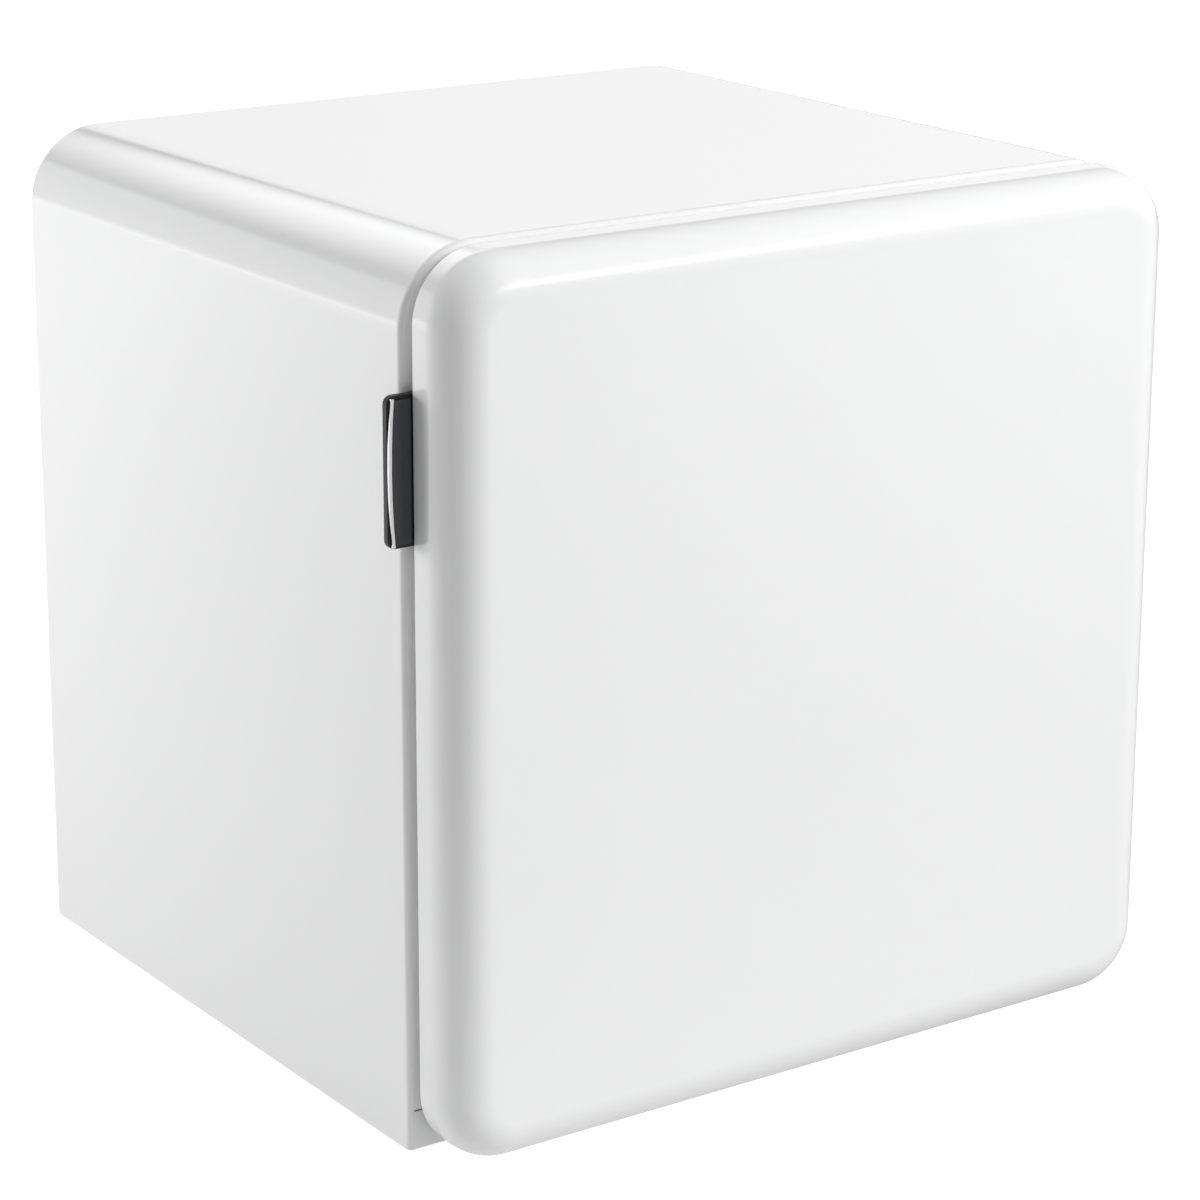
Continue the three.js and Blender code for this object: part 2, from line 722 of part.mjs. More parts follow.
function makeHinge(name, earZ, pinSide) {
  const plate = box(
    pinX - earWidth / 2, halfWidth - hingePlateInset, -fitGap - hingePlateThick, -fitGap,
    earZ - hingePlateHeight / 2, earZ + hingePlateHeight / 2,
  );
  const earShape = new THREE.Shape();
  earShape.moveTo(pinX + earWidth / 2, -fitGap);
  earShape.lineTo(pinX - earWidth / 2, -fitGap);
  earShape.lineTo(pinX - earWidth / 2, pinY);
  earShape.absarc(pinX, pinY, earWidth / 2, Math.PI, 2 * Math.PI);
  earShape.closePath();
  const ear = alongZ(earShape, earZ - earThick / 2, earZ + earThick / 2, 5);
  const pinHole = rod([pinX, pinY, earZ - cutOver], [pinX, pinY, earZ + cutOver], pinRadius + fitGap, 16);
  const places = hingeScrewPlaces(earZ);
  const screwHoles = places.map(([x, z]) => rod([x, -cutOver, z], [x, 1, z], screwRadius + fitGap));
  const sinks = places.map(([x, z]) => rod(
    [x, -cutOver, z], [x, -hingePlateThick - fitGap + screwHeadDepth, z], screwHeadRadius + fitGap,
  ));
  addPart(`hinge_bracket_${name}`, cut(join(plate, ear), pinHole, ...screwHoles, ...sinks), zincSteel);
  const pin = rod(
    [pinX, pinY, earZ - pinSide * (earThick / 2)], [pinX, pinY, earZ + pinSide * pinLength], pinRadius, 24,
  );
  addPart(`hinge_pin_${name}`, pin, zincSteel);
  places.forEach(([x, z], i) => {
    const headY = -hingePlateThick - fitGap;
    const head = rod([x, headY, z], [x, headY + screwHeadDepth - fitGap, z], screwHeadRadius);
    const shank = rod([x, headY + 0.5, z], [x, screwLength, z], screwRadius);
    addPart(`hinge_screw_${name}_${i + 1}`, join(head, shank), zincSteel);
  });
}

// ---- Door ----

// The door's pillow: a flat front with a round fillet, cut square at the back.
function pillow(inset, rear) {
  const flat = roundedRect(
    -doorHalf + doorFillet, doorHalf - doorFillet, doorBottom + doorFillet, doorTop - doorFillet,
    doorCorner - doorFillet,
  );
  const fillet = doorFillet - inset;
  const geometry = new THREE.ExtrudeGeometry(flat, {
    depth: doorSideWall + pillowSpare,
    bevelEnabled: true,
    bevelThickness: fillet,
    bevelSize: fillet,
    bevelSegments: 5,
    curveSegments: 4,
  });
  geometry.rotateX(Math.PI / 2);
  geometry.translate(0, doorFront + inset + doorSideWall + pillowSpare + fillet, 0);
  const behind = box(-cabinetWidth, cabinetWidth, rear, rear + cabinetWidth, -cutOver, topZ + cutOver);
  return cut(toSolid(geometry), behind);
}

// Room for a fixed hinge ear while the door turns about its pin.
function earSlot(earZ) {
  const half = earThick / 2 + earClearance;
  const slack = earWidth / 2 + earClearance;
  return box(pinX - slack, doorHalf + cutOver, pinY - slack - slotSwing, cutOver, earZ - half, earZ + half);
}

// The bush's seat, which opens into the ear's slot.
function bushSeat(earZ, side) {
  const reach = pinLength + seatSpare;
  return rod([pinX, pinY, earZ], [pinX, pinY, earZ + side * reach], pinRadius + bushWall + fitGap, 20);
}

function handleScrewPlaces() {
  const places = [handleScrewInset, handleHeight - handleScrewInset];
  return places.map((up) => [-doorHalf + handleTongue / 2, floorZ + handleBottom + up]);
}

function handleScrewHoles(gap) {
  const end = doorRear - screwLength - 1;
  return handleScrewPlaces().map(([x, z]) => rod([x, 0, z], [x, end, z], screwRadius + gap));
}

function makeDoorShell() {
  const outer = pillow(0, doorRear);
  const inner = pillow(sheet, doorRear - sheet);
  const lap = gasketInset - linerLapGap;
  const opening = alongY(roundedRect(
    -cavityHalf - lap, cavityHalf + lap, cavityFloor - lap, cavityTop + lap, gasketCorner,
  ), doorRear - 2 * sheet, cutOver);
  const slots = [earSlot(lowerEarZ), earSlot(upperEarZ)];
  addPart('door_shell', cut(outer, inner, opening, ...slots, ...handleScrewHoles(fitGap)), whitePaint);
}

// The ridge that stands into the cavity, as a ring between two outlines.
function dikeRing(offset, y0, y1) {
  const outer = alongY(roundedRect(
    -dikeHalf + offset, dikeHalf - offset, dikeBottom + offset, dikeTop - offset, linerCorner,
  ), y0, y1, 2);
  const width = dikeWidth - offset;
  const inner = alongY(roundedRect(
    -dikeHalf + width, dikeHalf - width, dikeBottom + width, dikeTop - width, dikeInnerCorner,
  ), y0 - cutOver, y1 + cutOver, 2);
  return cut(outer, inner);
}

function makeDoorFoam() {
  const gap = sheet + fitGap;
  const slab = pillow(gap, linerPanelFront - fitGap);
  const ridge = dikeRing(linerWall + fitGap, linerPanelFront - 2, dikeDepth - linerWall - fitGap);
  const slots = [earSlot(lowerEarZ), earSlot(upperEarZ), bushSeat(lowerEarZ, 1), bushSeat(upperEarZ, -1)];
  addPart('door_foam', cut(join(slab, ridge), ...slots, ...handleScrewHoles(holeGap)), foamYellow);
}

function rackLug(side, floor) {
  const wall = side * (dikeHalf - dikeWidth + linerWall / 2);
  const tip = side * (dikeHalf - dikeWidth - lugReach);
  return box(
    Math.min(wall, tip), Math.max(wall, tip), lugBack, lugBack + lugDepth,
    floor + lugAboveFloor, floor + lugAboveFloor + lugHeight,
  );
}

function makeDoorLiner() {
  const inset = sheet + linerEdgeInset;
  const panel = alongY(roundedRect(
    -doorHalf + inset, doorHalf - inset, doorBottom + inset, doorTop - inset, doorCorner - inset,
  ), linerPanelFront, linerPanelRear);
  const ridge = dikeRing(0, linerPanelFront, dikeDepth);
  const hollow = dikeRing(linerWall, linerPanelFront - cutOver, dikeDepth - linerWall);
  const slots = [earSlot(lowerEarZ), earSlot(upperEarZ)];
  const lugs = [lowerRackFloor, upperRackFloor].flatMap((floor) => [rackLug(-1, floor), rackLug(1, floor)]);
  const liner = join(cut(join(panel, ridge), hollow), ...lugs);
  addPart('door_liner', cut(liner, ...slots, ...handleScrewHoles(fitGap)), whitePlastic);
}

function ringAround(inner, outer, corner, y0, y1) {
  const outline = (reach, radius) => roundedRect(
    -cavityHalf - reach, cavityHalf + reach, cavityFloor - reach, cavityTop + reach, radius,
  );
  return cut(
    alongY(outline(outer, corner + outer - inner), y0, y1),
    alongY(outline(inner, corner), y0 - cutOver, y1 + cutOver),
  );
}

function makeGasket() {
  const outer = gasketInset + gasketWidth;
  const body = ringAround(gasketInset, outer, gasketCorner, doorRear + fitGap, -fitGap);
  const side = (gasketWidth - magnetWidth) / 2;
  const grooveFront = -magnetCover - magnetThick - 2 * fitGap;
  const corner = gasketCorner + side;
  const groove = ringAround(gasketInset + side - fitGap, outer - side + fitGap, corner, grooveFront, cutOver);
  addPart('door_gasket', cut(body, groove), paleRubber);
  const magnet = ringAround(
    gasketInset + side, outer - side, corner, grooveFront + fitGap, grooveFront + fitGap + magnetThick,
  );
  addPart('gasket_magnet', magnet, magnetBrown);
}

function makeHingeBush(name, earZ, side) {
  const start = earZ + side * (earThick / 2 + earClearance + fitGap);
  const end = earZ + side * (pinLength + bushSpare);
  const outer = rod([pinX, pinY, start], [pinX, pinY, end], pinRadius + bushWall, 20);
  const boreEnd = earZ + side * (pinLength + boreSpare);
  const bore = rod([pinX, pinY, earZ], [pinX, pinY, boreEnd], pinRadius + runningGap, 24);
  addPart(`hinge_bush_${name}`, cut(outer, bore), blackPlastic);
}

function makeHandle() {
  const left = -doorHalf - handleReach;
  const right = -doorHalf + handleTongue;
  const bottom = floorZ + handleBottom;
  const top = bottom + handleHeight;
  const faceRear = doorRear + fitGap;
  const baseFront = faceRear + fitGap;
  const outline = roundedRect(left, right, bottom, top, handleCorner);
  const plate = alongY(outline, baseFront, baseFront + handleThick, 2);
  const heads = handleScrewPlaces().map(([x, z]) => rod(
    [x, cutOver, z], [x, baseFront + handleThick - screwHeadDepth, z], screwHeadRadius + fitGap,
  ));
  addPart('handle_base', cut(plate, ...handleScrewHoles(fitGap), ...heads), blackPlastic);

  // The face: a grip pad whose outer edge bows outwards, with a thin bright trim along that edge.
  const bowed = (leftEdge, rightEdge, inset) => {
    const shape = new THREE.Shape();
    const low = bottom + inset;
    const high = top - inset;
    shape.moveTo(rightEdge, low);
    shape.lineTo(rightEdge, high);
    shape.lineTo(leftEdge + handleBow, high);
    shape.quadraticCurveTo(leftEdge - handleBow, (low + high) / 2, leftEdge + handleBow, low);
    shape.closePath();
    return shape;
  };
  const padRight = -doorHalf - handleRim;
  const padLeft = left + trimWidth;
  const y0 = faceRear - handleFaceThick;
  const pad = alongY(bowed(padLeft + fitGap, padRight, handleFaceInset), y0, faceRear, 6);
  addPart('handle_grip', pad, slatePlastic);
  const trimBlock = alongY(bowed(left, padLeft + 2 * handleBow, trimInset), y0 - fitGap, faceRear, 6);
  const trimInner = alongY(bowed(padLeft, padRight + cutOver, 0), y0 - cutOver, faceRear + cutOver, 6);
  addPart('handle_trim', cut(trimBlock, trimInner), chrome);
  handleScrewPlaces().forEach(([x, z], i) => {
    const rear = baseFront + handleThick;
    const head = rod([x, rear, z], [x, rear - screwHeadDepth + fitGap, z], screwHeadRadius);
    const shank = rod([x, rear - 0.5, z], [x, doorRear - screwLength, z], screwRadius);
    addPart(`handle_screw_${i + 1}`, join(head, shank), zincSteel);
  });
}

function makeRack(name, floor, height) {
  const half = dikeHalf - dikeWidth - rackSideGap;
  const back = rackBack;
  const frontY = back + rackDepth;
  const outer = alongZ(roundedRect(-half, half, back, frontY, rackCorner), floor, floor + height);
  const inner = alongZ(roundedRect(
    -half + rackWall, half - rackWall, back + rackWall, frontY - rackWall, rackCorner - 2,
  ), floor + rackWall, floor + height + cutOver);
  const bosses = [-1, 1].map((side) => {
    const inside = side * (half - lugReach - rackWall);
    return box(
      Math.min(inside, side * (half - 1)), Math.max(inside, side * (half - 1)),
      lugBack - rackWall, lugBack + lugDepth + rackWall, floor + 1, floor + height,
    );
  });
  const grooves = [-1, 1].map((side) => {
    const tip = side * (dikeHalf - dikeWidth - lugReach - fitGap);
    const out = side * (half + cutOver);
    return box(
      Math.min(tip, out), Math.max(tip, out), lugBack - fitGap, lugBack + lugDepth + fitGap,
      floor - cutOver, floor + lugAboveFloor + lugHeight + fitGap,
    );
  });
  addPart(name, cut(join(cut(outer, inner), ...bosses), ...grooves), clearPlastic);
}

// ---- Machinery behind the cabinet ----

function makeBasePlate() {
  const end = halfWidth - sheet - sheetGap;
  const back = basePlateFront + basePlateDepth;
  const plate = box(-end, end, basePlateFront, back, floorZ, floorZ + basePlate);
  const lips = [basePlateFront, back - basePlate].map(
    (y) => box(-end, end, y, y + basePlate, floorZ, floorZ + baseLip),
  );
  addPart('compressor_base', join(plate, ...lips), zincSteel);
}

function legPlaces() {
  return [[-1, -1], [1, -1], [-1, 1], [1, 1]].map(([sx, sy]) => [
    compressorX + sx * legPitchX / 2, compressorY + sy * legPitchY / 2,
  ]);
}

function makeCompressor() {
  legPlaces().forEach(([x, y], i) => {
    const grommet = rod([x, y, floorZ + basePlate + fitGap], [x, y, legZ], grommetRadius, 14);
    addPart(`compressor_grommet_${i + 1}`, grommet, rubber);
  });
  const r = compressorRadius;
  const h = compressorHeight;
  const profile = [
    [0, 0], [0.62 * r, 0.02 * h], [0.88 * r, 0.12 * h], [0.96 * r, 0.28 * h], [0.97 * r, 0.5 * h],
    [seamBulge * r, 0.5 * h], [seamBulge * r, 0.54 * h], [0.97 * r, 0.54 * h], [0.94 * r, 0.76 * h],
    [0.78 * r, 0.91 * h], [0.45 * r, 0.985 * h], [0, h],
  ].map(([radius, z]) => new THREE.Vector2(radius, z));
  const can = new THREE.LatheGeometry(profile, 24);
  can.rotateX(Math.PI / 2);
  can.scale(compressorStretch, 1, 1);
  can.translate(compressorX, compressorY, canBottom);
  const plate = legPlateHalf;
  const legLow = legZ + fitGap;
  const legs = [-1, 1].map((side) => {
    const y = compressorY + side * legPitchY / 2;
    const reach = legPitchX / 2 + plate;
    return box(
      compressorX - reach, compressorX + reach, y - plate, y + plate, legLow, legLow + legPlateThick,
    );
  });
  const crosses = [-1, 1].map((side) => {
    const x = compressorX + side * (compressorRadius * compressorStretch / 2);
    const reach = legPitchY / 2 + plate;
    return box(
      x - plate, x + plate, compressorY - reach, compressorY + reach, legLow, legLow + 3 * legPlateThick,
    );
  });
  addPart('compressor', join(toSolid(can), ...legs, ...crosses), blackPaint);
  const side = compressorX + seamBulge * r * compressorStretch + 1;
  const coverLow = legZ + coverLift;
  const outline = roundedRect(
    compressorY - coverHalf, compressorY + coverHalf, coverLow, coverLow + coverHeight, coverCorner,
  );
  const cover = alongX(outline, side, side + coverDepth, 3);
  addPart('terminal_cover', cover, blackPlastic);
}

function makeEvaporationPan() {
  const pan = (inset, z0, z1) => alongZ(roundedRect(
    compressorX - panHalfX + inset, compressorX + panHalfX - inset,
    compressorY - panHalfY + inset, compressorY + panHalfY - inset, panCorner - inset,
  ), z0, z1);
  const outer = pan(0, panBottom, panBottom + panHeight);
  const hollow = pan(panWall, panBottom + panWall, stepTop);
  addPart('evaporation_pan', cut(outer, hollow), blackPlastic);
  const spoutLow = panBottom + panHeight - 5;
  const drop = (z0, z1, radius) => rod(
    [compressorX, compressorY, z0], [compressorX, compressorY, z1], radius, 16,
  );
  const spout = drop(spoutLow, stepTop - linerWall, drainRadius);
  const bore = drop(spoutLow - 1, stepTop + 1, drainRadius - spoutWall);
  addPart('drain_spout', cut(spout, bore), whitePlastic);
}

class BendCurve extends THREE.Curve {
  constructor(x, z, side) {
    super();
    this.centre = new THREE.Vector3(x, coilY, z);
    this.side = side;
  }

  getPoint(t, target = new THREE.Vector3()) {
    const angle = -Math.PI / 2 + Math.PI * t;
    return target.set(
      this.centre.x + this.side * coilPitch / 2 * Math.cos(angle), coilY,
      this.centre.z + coilPitch / 2 * Math.sin(angle),
    );
  }
}

function makeCondenser() {
  const bendX = coilHalf - coilPitch / 2;
  const pieces = [];
  const section = new THREE.Shape();
  section.absarc(0, 0, coilTube, 0, 2 * Math.PI);
  for (let i = 0; i < coilRuns; i += 1) {
    const z = coilBottom + i * coilPitch;
    pieces.push(rod([-bendX - 0.5, coilY, z], [bendX + 0.5, coilY, z], coilTube + 0.1, 6));
    if (i < coilRuns - 1) {
      const side = i % 2 === 0 ? -1 : 1;
      const bend = new THREE.ExtrudeGeometry(section, {
        steps: 5, extrudePath: new BendCurve(side * bendX, z + coilPitch / 2, side), curveSegments: 3,
        bevelEnabled: false,
      });
      pieces.push(toSolid(bend));
    }
  }
  for (let i = 0; i < coilWires; i += 1) {
    const x = -bendX + wireInset + 2 * i * (bendX - wireInset) / (coilWires - 1);
    const y = coilY + coilTube - 0.3;
    pieces.push(box(
      x - coilWire / 2, x + coilWire / 2, y, y + coilWire, coilBottom - wireOverhang, coilTop + wireOverhang,
    ));
  }
  addPart('condenser', join(...pieces), blackPaint);
}

function makeCondenserBrackets() {
  for (const [name, side] of [['condenser_bracket_left', -1], ['condenser_bracket_right', 1]]) {
    const x = side * (coilHalf - coilPitch / 2 - bracketInset);
    const [x0, x1] = [x - bracketHalf, x + bracketHalf];
    const front = cabinetDepth - sheet + fitGap;
    const rear = coilY - coilTube - 2 * fitGap;
    const [low, high] = [coilBottom - bracketOverhang, coilTop + bracketOverhang];
    const strip = box(x0, x1, rear - 3.4, rear, low, high);
    const posts = [low, high - bracketPost].map((z) => box(x0, x1, front, rear - 1, z, z + bracketPost));
    addPart(name, join(strip, ...posts), blackPlastic);
  }
}

function makePipes() {
  const endX = coilHalf - coilPitch / 2 + 1;
  const legX = coilHalf + 8;
  const shoulderZ = legZ + 0.8 * compressorHeight;
  const sideX = compressorX - compressorRadius * compressorStretch * 0.9;
  addPart('discharge_pipe', pipe([
    [sideX - 8, compressorY + 6, shoulderZ - 8], [sideX - 26, compressorY + 12, shoulderZ - 4],
    [-legX + 30, compressorY + 40, shoulderZ], [-legX + 4, coilY - 14, shoulderZ + 14],
    [-legX, coilY, coilBottom - 14], [-legX, coilY, coilBottom + 40], [-legX, coilY, coilTop - 40],
    [-legX, coilY, coilTop - 12], [-legX + 5, coilY, coilTop - 2], [-endX - 0.4, coilY, coilTop],
  ], 2, 8, 36), copper);
  const canX = compressorX + compressorRadius * compressorStretch;
  const canY = compressorY + compressorRadius;
  addPart('suction_pipe', pipe([
    [compressorX + 30, canY, shoulderZ - 22], [compressorX + 40, canY + 4, shoulderZ - 10],
    [canX + 36, canY - 4, shoulderZ], [canX + 60, canY - 20, shoulderZ + 22],
    [canX + 60, canY - 26, bayTop - 0.6],
  ], 3, 8, 18), copper);
  const dryerX = coilHalf - 4;
  const dryerY = coilY - 34;
  const dryerTop = bayTop - 22;
  const dryerLow = dryerTop - dryerLength;
  const dryer = rod([dryerX, dryerY, dryerLow], [dryerX, dryerY, dryerTop], dryerRadius, 14);
  const inlet = pipe([
    [endX + 0.4, coilY, coilBottom], [legX - 6, coilY, coilBottom - 3], [legX, coilY, coilBottom - 14],
    [legX, coilY, bayTop + 6], [dryerX + 6, coilY - 10, bayTop - 8], [dryerX, dryerY, dryerTop - 4],
  ], 2, 8, 22);
  addPart('filter_dryer', join(dryer, inlet), copper);
  addPart('capillary_pipe', pipe([
    [dryerX, dryerY, dryerLow - 0.5], [dryerX - 2, dryerY - 2, dryerLow - 18],
    [dryerX - 20, dryerY - 8, dryerLow - 24], [dryerX - 42, dryerY - 18, dryerLow + 10],
    [dryerX - 48, dryerY - 24, bayTop - 0.6],
  ], 1.4, 6, 18), copper);
}

function makeCordClamp() {
  const x = halfWidth - clampToSide;
  const y = basePlateFront + basePlateDepth - clampToRear;
  const z = floorZ + basePlate + fitGap;
  const middle = z + clampHeight / 2;
  const outline = roundedRect(x - clampHalf, x + clampHalf, z, z + clampHeight, clampCorner);
  const saddle = alongY(outline, y, y + clampDepth, 4);
  const hole = rod([x, y - 1, middle], [x, y + clampDepth + 1, middle], glandRadius, 16);
  addPart('cord_clamp', cut(saddle, hole), blackPlastic);
}

// ---- Feet ----

function makeFrontFoot(name, side) {
  const x = side * frontFootX;
  const shoulder = footHeight - 0.5;
  const studTop = footHeight + studLength - 1;
  const profile = [
    [0, 0], [footRadius - 1, 0], [footRadius, 1.5], [footRadius - 1, footHeight - 4],
    [studRadius + 5, shoulder], [studRadius, shoulder], [studRadius, studTop - 1],
    [studRadius - 1, studTop], [0, studTop],
  ].map(([radius, z]) => new THREE.Vector2(radius, z));
  const foot = new THREE.LatheGeometry(profile, 16);
  foot.rotateX(Math.PI / 2);
  foot.translate(x, frontFootY, 0);
  addPart(name, toSolid(foot), blackPlastic);
}

function makeRearFoot(name, side) {
  const foot = new THREE.CylinderGeometry(footRadius - 2, footRadius, footHeight - fitGap, 16);
  foot.rotateX(Math.PI / 2);
  foot.translate(side * rearFootX, rearFootY, (footHeight - fitGap) / 2);
  addPart(name, toSolid(foot), blackPlastic);
}

makeCabinetShell();
makeFrontBar();
makeBottomPlate();
makeRearPanel();
makeInnerLiner();
makeCabinetFoam();
makeEvaporator();
makeEvaporatorHanger();
makeIceBoxFrame();
makeFreezerFlap();
makeTrayRails();
makeDripTray();
makeShelf();
makeThermostat();
makeHinge('lower', lowerEarZ, 1);
makeHinge('upper', upperEarZ, -1);
makeDoorShell();
makeDoorFoam();
makeDoorLiner();
makeGasket();
makeHingeBush('lower', lowerEarZ, 1);
makeHingeBush('upper', upperEarZ, -1);
makeHandle();
makeRack('lower_rack', lowerRackFloor, lowerRackHeight);
makeRack('upper_rack', upperRackFloor, upperRackHeight);
makeBasePlate();
makeCompressor();
makeEvaporationPan();
makeCondenser();
makeCondenserBrackets();
makePipes();
makeCordClamp();
makeFrontFoot('front_foot_left', -1);
makeFrontFoot('front_foot_right', 1);
makeRearFoot('rear_foot_left', -1);
makeRearFoot('rear_foot_right', 1);

// Stand the whole box centred on the origin.
const reachLeft = doorHalf + handleReach;
const reachBack = coilY + coilTube - 0.3 + coilWire;
fridge.position.set((reachLeft - halfWidth) / 2, -(doorFront + reachBack) / 2, 0);

export default fridge;
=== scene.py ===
import math

import bmesh
import bpy
from mathutils import Matrix, Vector


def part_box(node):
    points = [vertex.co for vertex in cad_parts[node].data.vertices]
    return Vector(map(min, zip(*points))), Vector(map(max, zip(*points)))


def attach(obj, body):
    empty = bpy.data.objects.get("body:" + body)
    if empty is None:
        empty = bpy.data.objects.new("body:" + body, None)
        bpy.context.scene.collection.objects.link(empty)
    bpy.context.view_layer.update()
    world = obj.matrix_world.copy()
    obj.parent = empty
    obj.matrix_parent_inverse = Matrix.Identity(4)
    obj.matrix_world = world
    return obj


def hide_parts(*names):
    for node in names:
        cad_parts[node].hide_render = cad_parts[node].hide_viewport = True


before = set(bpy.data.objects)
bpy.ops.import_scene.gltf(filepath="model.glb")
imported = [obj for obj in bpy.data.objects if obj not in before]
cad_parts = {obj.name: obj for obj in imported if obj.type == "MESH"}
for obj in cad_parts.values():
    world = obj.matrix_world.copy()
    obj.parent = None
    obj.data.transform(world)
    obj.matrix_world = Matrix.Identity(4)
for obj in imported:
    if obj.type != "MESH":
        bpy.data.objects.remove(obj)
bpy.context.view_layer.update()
mm = 0.001
print("frame loaded:", len(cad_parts), "nodes")


# Nodes stand in rows of six, in the order they are made.
def addNode(tree, kind, **settings):
    count = len(tree.nodes)
    node = tree.nodes.new(kind)
    node.location = (count % 6 * 220, count // 6 * -340)
    for key, value in settings.items():
        setattr(node, key, value)
    return node


def plug(tree, target, source):
    if hasattr(source, "is_output"):
        tree.links.new(source, target)
    else:
        target.default_value = source


def calc(tree, operation, first, second=0.0, third=0.0, clamp=False):
    node = addNode(tree, "ShaderNodeMath", operation=operation, use_clamp=clamp)
    for socket, value in zip(node.inputs, (first, second, third)):
        plug(tree, socket, value)
    return node.outputs[0]


def noiseAt(tree, vector, scale, detail, rough):
    node = addNode(tree, "ShaderNodeTexNoise")
    for label, value in (("Vector", vector), ("Scale", scale), ("Detail", detail), ("Roughness", rough)):
        plug(tree, node.inputs[label], value)
    return node.outputs["Fac"]


def splitAxes(tree, vector):
    split = addNode(tree, "ShaderNodeSeparateXYZ")
    plug(tree, split.inputs[0], vector)
    return split.outputs


# The groups that several finishes share.
def startGroup(name, inputs, outputs):
    group = bpy.data.node_groups.new(name, "ShaderNodeTree")
    for label, value in inputs.items():
        group.interface.new_socket(label, in_out="INPUT", socket_type="NodeSocketFloat").default_value = value
    for label in outputs:
        group.interface.new_socket(label, in_out="OUTPUT", socket_type="NodeSocketFloat")
    entry, leave = addNode(group, "NodeGroupInput"), addNode(group, "NodeGroupOutput")
    return group, entry.outputs, leave.inputs, addNode(group, "ShaderNodeTexCoord").outputs["Object"]


# Two sizes of soft waves, as sprayed or moulded skins have them.
def makeSkinGrain():
    group, given, made, place = startGroup(
        "skinGrain", {"Wave Scale": 300.0, "Fine Scale": 1500.0, "Fine Share": 0.3}, ("Height", "Mottle"))
    waves = noiseAt(group, place, given["Wave Scale"], 1.0, 0.4)
    fine = noiseAt(group, place, given["Fine Scale"], 2.0, 0.5)
    plug(group, made["Height"], calc(group, "MULTIPLY_ADD", fine, given["Fine Share"], waves))
    plug(group, made["Mottle"], noiseAt(group, place, 9.0, 4.0, 0.55))
    return group


# Thin dust and handling marks: more on faces that look up, in soft uneven patches.
def makeDust():
    group, given, made, place = startGroup("dustFilm", {"Amount": 0.3, "Patch Scale": 14.0}, ("Mask",))
    facing = splitAxes(group, addNode(group, "ShaderNodeNewGeometry").outputs["Normal"])
    upward = calc(group, "MULTIPLY_ADD", facing["Z"], 0.5, 0.5)
    patches = noiseAt(group, place, given["Patch Scale"], 6.0, 0.62)
    specks = noiseAt(group, place, 700.0, 3.0, 0.7)
    mixed = calc(group, "MULTIPLY_ADD", specks, 0.6, patches)
    raised = calc(group, "MULTIPLY_ADD", mixed, 1.6, -0.85, clamp=True)
    shown = calc(group, "MULTIPLY", raised, upward)
    plug(group, made["Mask"], calc(group, "MULTIPLY", shown, given["Amount"]))
    return group


# Fine parallel scratches along one axis of the piece.
def makeStreaks():
    group, given, made, place = startGroup(
        "rollStreaks", {"Along X": 6.0, "Along Y": 900.0, "Along Z": 900.0}, ("Height", "Mask"))
    stretch = addNode(group, "ShaderNodeCombineXYZ")
    for socket, label in zip(stretch.inputs, ("Along X", "Along Y", "Along Z")):
        plug(group, socket, given[label])
    scaled = addNode(group, "ShaderNodeVectorMath", operation="MULTIPLY")
    plug(group, scaled.inputs[0], place)
    plug(group, scaled.inputs[1], stretch.outputs[0])
    lines = noiseAt(group, scaled.outputs[0], 1.0, 3.0, 0.6)
    plug(group, made["Height"], lines)
    plug(group, made["Mask"], calc(group, "MULTIPLY_ADD", lines, 1.8, -0.4, clamp=True))
    return group


skinGrain, dustFilm, rollStreaks = makeSkinGrain(), makeDust(), makeStreaks()
finishes = {}


def useGroup(tree, group, values):
    node = addNode(tree, "ShaderNodeGroup", node_tree=group)
    for label, value in values.items():
        plug(tree, node.inputs[label], value)
    return node.outputs


def mixColours(tree, share, first, second):
    node = addNode(tree, "ShaderNodeMix", data_type="RGBA")
    plug(tree, node.inputs[0], share)
    for socket, value in ((node.inputs[6], first), (node.inputs[7], second)):
        plug(tree, socket, (*value, 1) if isinstance(value, tuple) else value)
    return node.outputs[2]


def roughRange(tree, source, low, high):
    node = addNode(tree, "ShaderNodeMapRange")
    for label, value in (("Value", source), ("From Min", 0.25), ("From Max", 0.75), ("To Min", low),
                         ("To Max", high)):
        plug(tree, node.inputs[label], value)
    return node.outputs[0]


def bumpFrom(tree, height, strength, distance):
    node = addNode(tree, "ShaderNodeBump")
    for label, value in (("Strength", strength), ("Distance", distance), ("Height", height)):
        plug(tree, node.inputs[label], value)
    return node.outputs[0]


def startFinish(name, fixed):
    finish = bpy.data.materials.new(name)
    finish.use_nodes = True
    shader = finish.node_tree.nodes["Principled BSDF"]
    for label, value in fixed.items():
        shader.inputs[label].default_value = value
    finishes[name] = finish
    return finish.node_tree, shader.inputs


# A painted or moulded skin: colour with a soft mottle and thin dust, its grain as bump.
def skinFinish(name, colour, shade, rough, grain, bump, dust=(0.2, (0.5, 0.48, 0.44)), fixed={}):
    tree, shader = startFinish(name, fixed)
    skin = useGroup(tree, skinGrain, dict(zip(("Wave Scale", "Fine Scale", "Fine Share"), grain)))
    film = useGroup(tree, dustFilm, {"Amount": dust[0]})["Mask"]
    base = mixColours(tree, skin["Mottle"], colour, shade)
    plug(tree, shader["Base Color"], mixColours(tree, film, base, dust[1]))
    worn = calc(tree, "MULTIPLY_ADD", film, 0.5, skin["Mottle"])
    plug(tree, shader["Roughness"], roughRange(tree, worn, *rough))
    plug(tree, shader["Normal"], bumpFrom(tree, skin["Height"], *bump))


